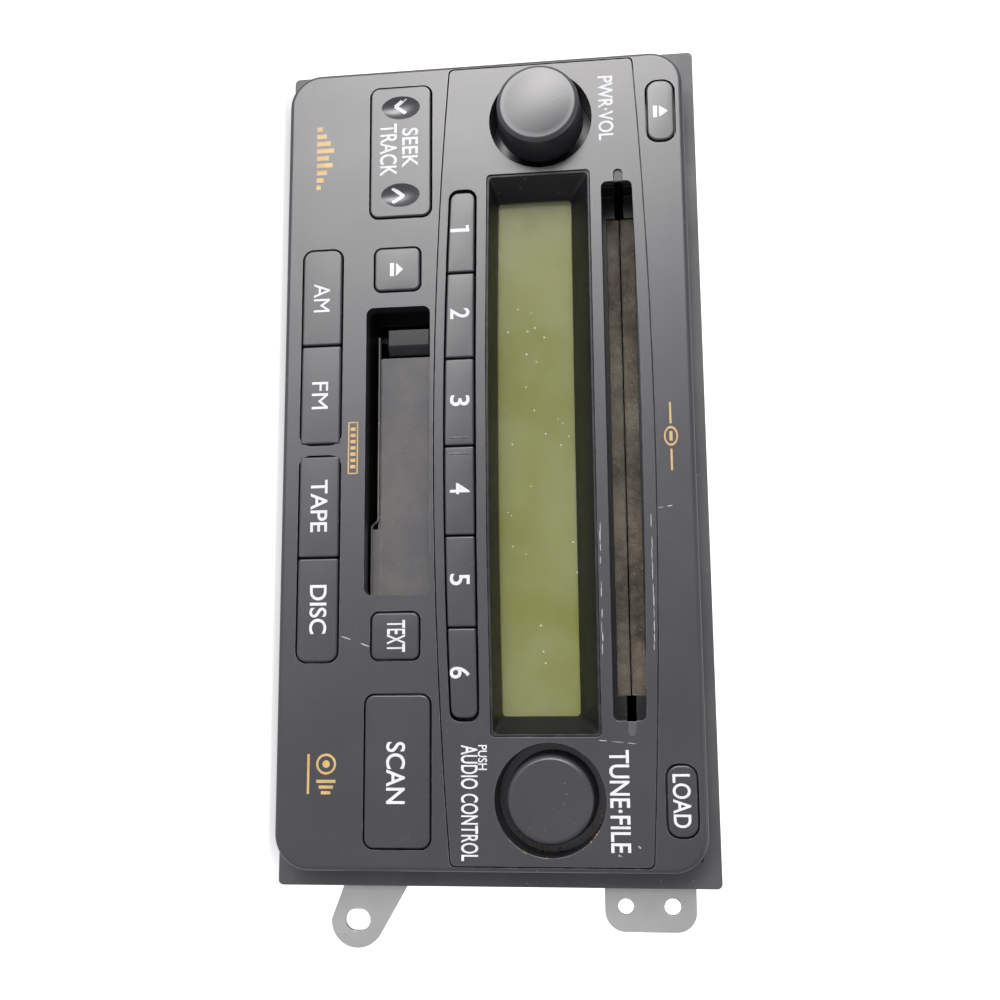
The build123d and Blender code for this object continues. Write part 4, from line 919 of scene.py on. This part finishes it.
# eject signs: middle across, the bar's place up, width and thickness, the triangle's place up and height
ejects = (("tape_eject_button", -43.6, 27.84, 3.26, 0.97, 29.68, 1.71),
          ("disc_eject_button", -79.75, 91.41, 2.95, 0.95, 93.42, 2.12))
for node, x, barZ, wide, thick, tipZ, tall in ejects:
    keepMark(layOn(fitMark(barShape(), x, barZ, wide, thick), node), node, "legendWhite")
    keepMark(layOn(fitMark(roundShape(3), x, tipZ, wide, tall), node), node, "legendWhite")
# the digit 1 is two bars
for x, z, wide, high in ((-52.6, 44.3, 0.85, 4.6), (-53.3, 46.1, 1.0, 0.7)):
    mark = fitMark(barShape(), x, z, wide, high)
    keepMark(layOn(mark, "preset_button_1"), "preset_button_1", "legendWhite")
for x, z, sign in ((-85.77, 29.55, -1), (-62.57, 29.07, 1)):
    mark = fitMark(chevronShape(sign), x, z, 4.25, 3.3)
    keepMark(layOn(mark, "seek_rocker"), "seek_rocker", "legendWhite")

# gold signs: level bars, a disc with bars, a framed row of bars and a ring between lines,
# each with its middle across and up, width and height, in millimetres
gold = []
levels = {"tall": (1.4, 2.4, 3.4, 4.3, 3.0, 4.0, 2.6, 1.8, 1.1), "start": -73.3 - 7.6, "apart": 1.9,
          "middle": 10.89, "tallest": 4.3, "wide": 1.15, "ringBand": 0.22}
for step, tall in enumerate(levels["tall"]):
    gold.append(("bar", levels["start"] + step * levels["apart"],
                 levels["middle"] - (levels["tallest"] - tall) / 2, levels["wide"], tall))
gold += [("ring", 72.2, 13.4, 4.6, 4.6), ("ring", 72.2, 13.4, 1.7, 1.7)]
for step in range(3):
    gold.append(("bar", 76.0 + step * 1.25, 13.4, 0.7, 4.4 - step * 1.1))
gold.append(("bar", 74.38, 9.3, 8.8, 0.55))
for x, z, wide, high in ((-0.4, 19.75, 12.47, 0.3), (-0.4, 17.65, 12.47, 0.3), (-6.5, 18.7, 0.3, 2.4),
                         (5.7, 18.7, 0.3, 2.4)):
    gold.append(("bar", x, z, wide, high))
for step in range(7):
    gold.append(("bar", -4.9 + step * 1.5, 18.7, 0.8, 1.2))
gold += [("bar", -6.2, 92.71, 5.0, 0.45), ("bar", 4.7, 92.71, 5.0, 0.45), ("ring", -0.77, 92.71, 4.6, 3.16),
         ("bar", -0.77, 92.71, 2.2, 0.7)]
for kind, x, z, wide, high in gold:
    shape = barShape() if kind == "bar" else roundShape(40, 0.0, levels["ringBand"] if wide > 2 else 0.0)
    keepMark(layOn(fitMark(shape, x, z, wide, high), "fascia_bezel"), "fascia_bezel", "legendGold")

# scuffs: thin broken strokes, each with its two ends and width in millimetres
rng = random.Random(5)
scuffLook = {"apart": 2.6, "bare": 0.22, "stray": 0.12, "tilt": 0.04, "lift": 0.012 * mm}
scuffs = [("fascia_bezel", 43.5, 16.2, 45.9, 22.8, 0.22), ("fascia_bezel", 15.8, 88.9, 15.2, 92.7, 0.25),
          ("fascia_bezel", 35.9, 92.7, 35.1, 96.2, 0.25), ("centre_panel", 67.1, 74.7, 68.2, 86.0, 0.16),
          ("centre_panel", 89.6, 82.9, 90.1, 83.6, 0.5), ("centre_panel", 91.6, 78.6, 91.9, 79.3, 0.4),
          ("centre_panel", 16.0, 76.2, 48.5, 76.1, 0.22), ("centre_panel", 14.0, 87.7, 48.7, 87.6, 0.2)]
for node, xFrom, zFrom, xTo, zTo, width in scuffs:
    length = math.hypot(xTo - xFrom, zTo - zFrom)
    pieces = max(2, round(length / scuffLook["apart"]))
    for piece in range(pieces):
        if rng.random() < scuffLook["bare"]:
            continue
        share = (piece + rng.uniform(0.3, 0.7)) / pieces
        stroke = roundShape(10)
        stroke.scale = (length / pieces * rng.uniform(0.25, 0.62), width * rng.uniform(0.25, 0.6), 1)
        tilt = rng.uniform(-scuffLook["tilt"], scuffLook["tilt"])
        stroke.rotation_euler = (0, 0, math.atan2(zTo - zFrom, xTo - xFrom) + tilt)
        settle(stroke)
        xs = [point.co.x for point in stroke.data.vertices]
        zs = [point.co.y for point in stroke.data.vertices]
        x = xFrom + (xTo - xFrom) * share
        z = zFrom + (zTo - zFrom) * share + rng.uniform(-scuffLook["stray"], scuffLook["stray"])
        fitMark(stroke, x, z, max(xs) - min(xs), max(zs) - min(zs))
        keepMark(layOn(stroke, node, scuffLook["lift"]), node, "scuff")
for (node, finish), group in marks.items():
    joined = joinAll(group, node + "_" + finish)
    paint(joined, finish)
    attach(joined, bodyOf[node])
print("marks done:", len(marks), "groups")

# the two ends of the disc slot run out in shallow grooves; their floors are painted a lighter, dusty grey than
# the panel, partly dust and partly a painted highlight
grooveLook = {"depth": 0.45 * mm, "reach": 3.6 * mm, "half": 1.15 * mm, "end": 63.1 * mm,
              "thick": 0.8 * mm, "round": 0.2 * mm}
beside = (-grooveLook["end"] - 2 * mm, markLook["front"], slotMiddle + 2.5 * mm)
face = bpy.data.objects["centre_panel_shown"].ray_cast(beside, (0, 1, 0))[1].y
grooves = []
for side, x in ((-1, -grooveLook["end"]), (1, grooveLook["end"])):
    ends = sorted((x, x + side * grooveLook["reach"]))
    groove = addCube("groove", (ends[0], face + grooveLook["depth"], slotMiddle - grooveLook["half"]),
                     (ends[1], face + grooveLook["depth"] + grooveLook["thick"],
                      slotMiddle + grooveLook["half"]))
    grooves.append(groove)
grooves = joinAll(grooves, "slot_grooves")
roundEdges(grooves, grooveLook["round"], 2)
# lighter door grey instead of the panel's own plastic: its dust film is real dust, its lighter grey is a
# painted highlight in the notches
paint(grooves, "door_grey")
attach(grooves, bodyOf["centre_panel"])

# dirt in the ring round the tuning knob, in drifts at a few angles
dirtLook = {"grains": 90, "drifts": (0.95, -0.15, -0.6), "spread": 0.22, "inner": 11.0, "outer": 12.6,
            "smallest": 0.06, "largest": 0.34}
low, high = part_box("tune_knob")
centre = (low + high) / 2
dirt = []
panel = bpy.data.objects["centre_panel_shown"]
for number in range(dirtLook["grains"]):
    towards = rng.choice(dirtLook["drifts"]) + rng.gauss(0, dirtLook["spread"])
    reach = rng.uniform(dirtLook["inner"], dirtLook["outer"]) * mm
    x = centre.x + reach * math.cos(towards)
    z = centre.z + reach * math.sin(towards)
    hit, spot, *rest = panel.ray_cast((x, markLook["front"], z), (0, 1, 0))
    if not hit:
        continue
    size = rng.uniform(dirtLook["smallest"], dirtLook["largest"]) * mm
    deselectAll()
    bpy.ops.mesh.primitive_ico_sphere_add(subdivisions=1, radius=size, location=(x, spot.y, z),
                                          scale=(1, 0.5, rng.uniform(0.5, 1)))
    dirt.append(bpy.context.object)
if dirt:
    dirt = joinAll(dirt, "knob_dirt")
    settle(dirt)
    smooth(dirt, 80)
    paint(dirt, "grime")
    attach(dirt, bodyOf["centre_panel"])
print("dirt done")


# camera, where a person stands who looks at it lying on its side
camera = bpy.data.objects.new("camera", bpy.data.cameras.new("camera"))
bpy.context.collection.objects.link(camera)
camera.data.lens = 41.97
camera.data.sensor_width = 36.0
camera.data.clip_start = 0.01
camera.matrix_world = Matrix(((0.008193, -0.987011, 0.160444, 0.05593),
                              (0.118607, -0.158357, -0.980232, -0.35143),
                              (0.992907, 0.027060, 0.115769, 0.08439), (0, 0, 0, 1)))
bpy.context.scene.camera = camera

# floor and light
deselectAll()
bpy.ops.mesh.primitive_plane_add(size=12, location=(0, 0, 0))
floor = bpy.context.object
floor.name = "floor"
paper = bpy.data.materials.new("paper")
paper.use_nodes = True
paperLook = {"Base Color": (0.86, 0.86, 0.86, 1), "Roughness": 0.9, "Emission Color": (1, 1, 1, 1),
             "Emission Strength": 0.6}
for label, value in paperLook.items():
    paper.node_tree.nodes["Principled BSDF"].inputs[label].default_value = value
floor.data.materials.append(paper)
floor.visible_glossy = False
floor.visible_diffuse = False
floor.visible_shadow = False

# one soft light, high up in front
lightLook = {"place": (0.5, -0.5, 1.6), "target": (0.05, 0, 0.05), "width": 1.2, "watts": 3}
light = bpy.data.lights.new("overheadLight", "AREA")
light.shape = "RECTANGLE"
light.size = lightLook["width"]
light.size_y = lightLook["width"]
light.energy = lightLook["watts"]
lamp = bpy.data.objects.new("overheadLight", light)
bpy.context.collection.objects.link(lamp)
lamp.location = lightLook["place"]
aim = Vector(lightLook["target"]) - Vector(lightLook["place"])
lamp.rotation_euler = aim.to_track_quat("-Z", "Y").to_euler()

# the room: one wide bright side, low on the left, and a dim rest
roomLook = {"edgeFrom": -0.03, "edgeTo": 0.17, "bright": (18.5, 18.1, 18.0), "nearDark": (0.95, 0.95, 1.0),
            "farDark": (0.70, 0.70, 0.75), "low": -0.50, "high": -0.04, "lowShare": 0.0, "rimFrom": 0.34,
            "rimTo": 0.6, "rimShare": 0.05, "sideFrom": -0.45, "sideTo": -0.78, "darkest": -0.9,
            "side": (-0.7767, 0.3145, -0.5457), "backdrop": (1.35, 1.35, 1.35)}
world = bpy.data.worlds.new("room")
bpy.context.scene.world = world
world.use_nodes = True
tree = world.node_tree
background = tree.nodes["Background"]
background.inputs["Strength"].default_value = 1.0
place = tree.nodes.new("ShaderNodeTexCoord").outputs["Generated"]
towards = tree.nodes.new("ShaderNodeVectorMath")
towards.operation = "DOT_PRODUCT"
tree.links.new(place, towards.inputs[0])
towards.inputs[1].default_value = roomLook["side"]
glow = remap(tree, towards.outputs["Value"], roomLook["edgeFrom"], roomLook["edgeTo"])
fall = remap(tree, towards.outputs["Value"], roomLook["edgeFrom"], roomLook["darkest"])
dim = blendColour(tree, fall, roomLook["nearDark"], roomLook["farDark"])
split = tree.nodes.new("ShaderNodeSeparateXYZ")
tree.links.new(place, split.inputs[0])
share = remap(tree, split.outputs["Z"], roomLook["low"], roomLook["high"], roomLook["lowShare"], 1.0)
rim = remap(tree, towards.outputs["Value"], roomLook["rimFrom"], roomLook["rimTo"], 1.0, roomLook["rimShare"])
front = remap(tree, split.outputs["Y"], roomLook["sideFrom"], roomLook["sideTo"])
patch = maths(tree, "MULTIPLY", maths(tree, "MULTIPLY", glow, front), maths(tree, "MULTIPLY", share, rim))
roomTone = blendColour(tree, patch, dim, roomLook["bright"])
seen = tree.nodes.new("ShaderNodeLightPath").outputs["Is Camera Ray"]
tree.links.new(blendColour(tree, seen, roomTone, roomLook["backdrop"]), background.inputs["Color"])
bpy.context.scene.view_settings.view_transform = "Standard"

print("scene done")
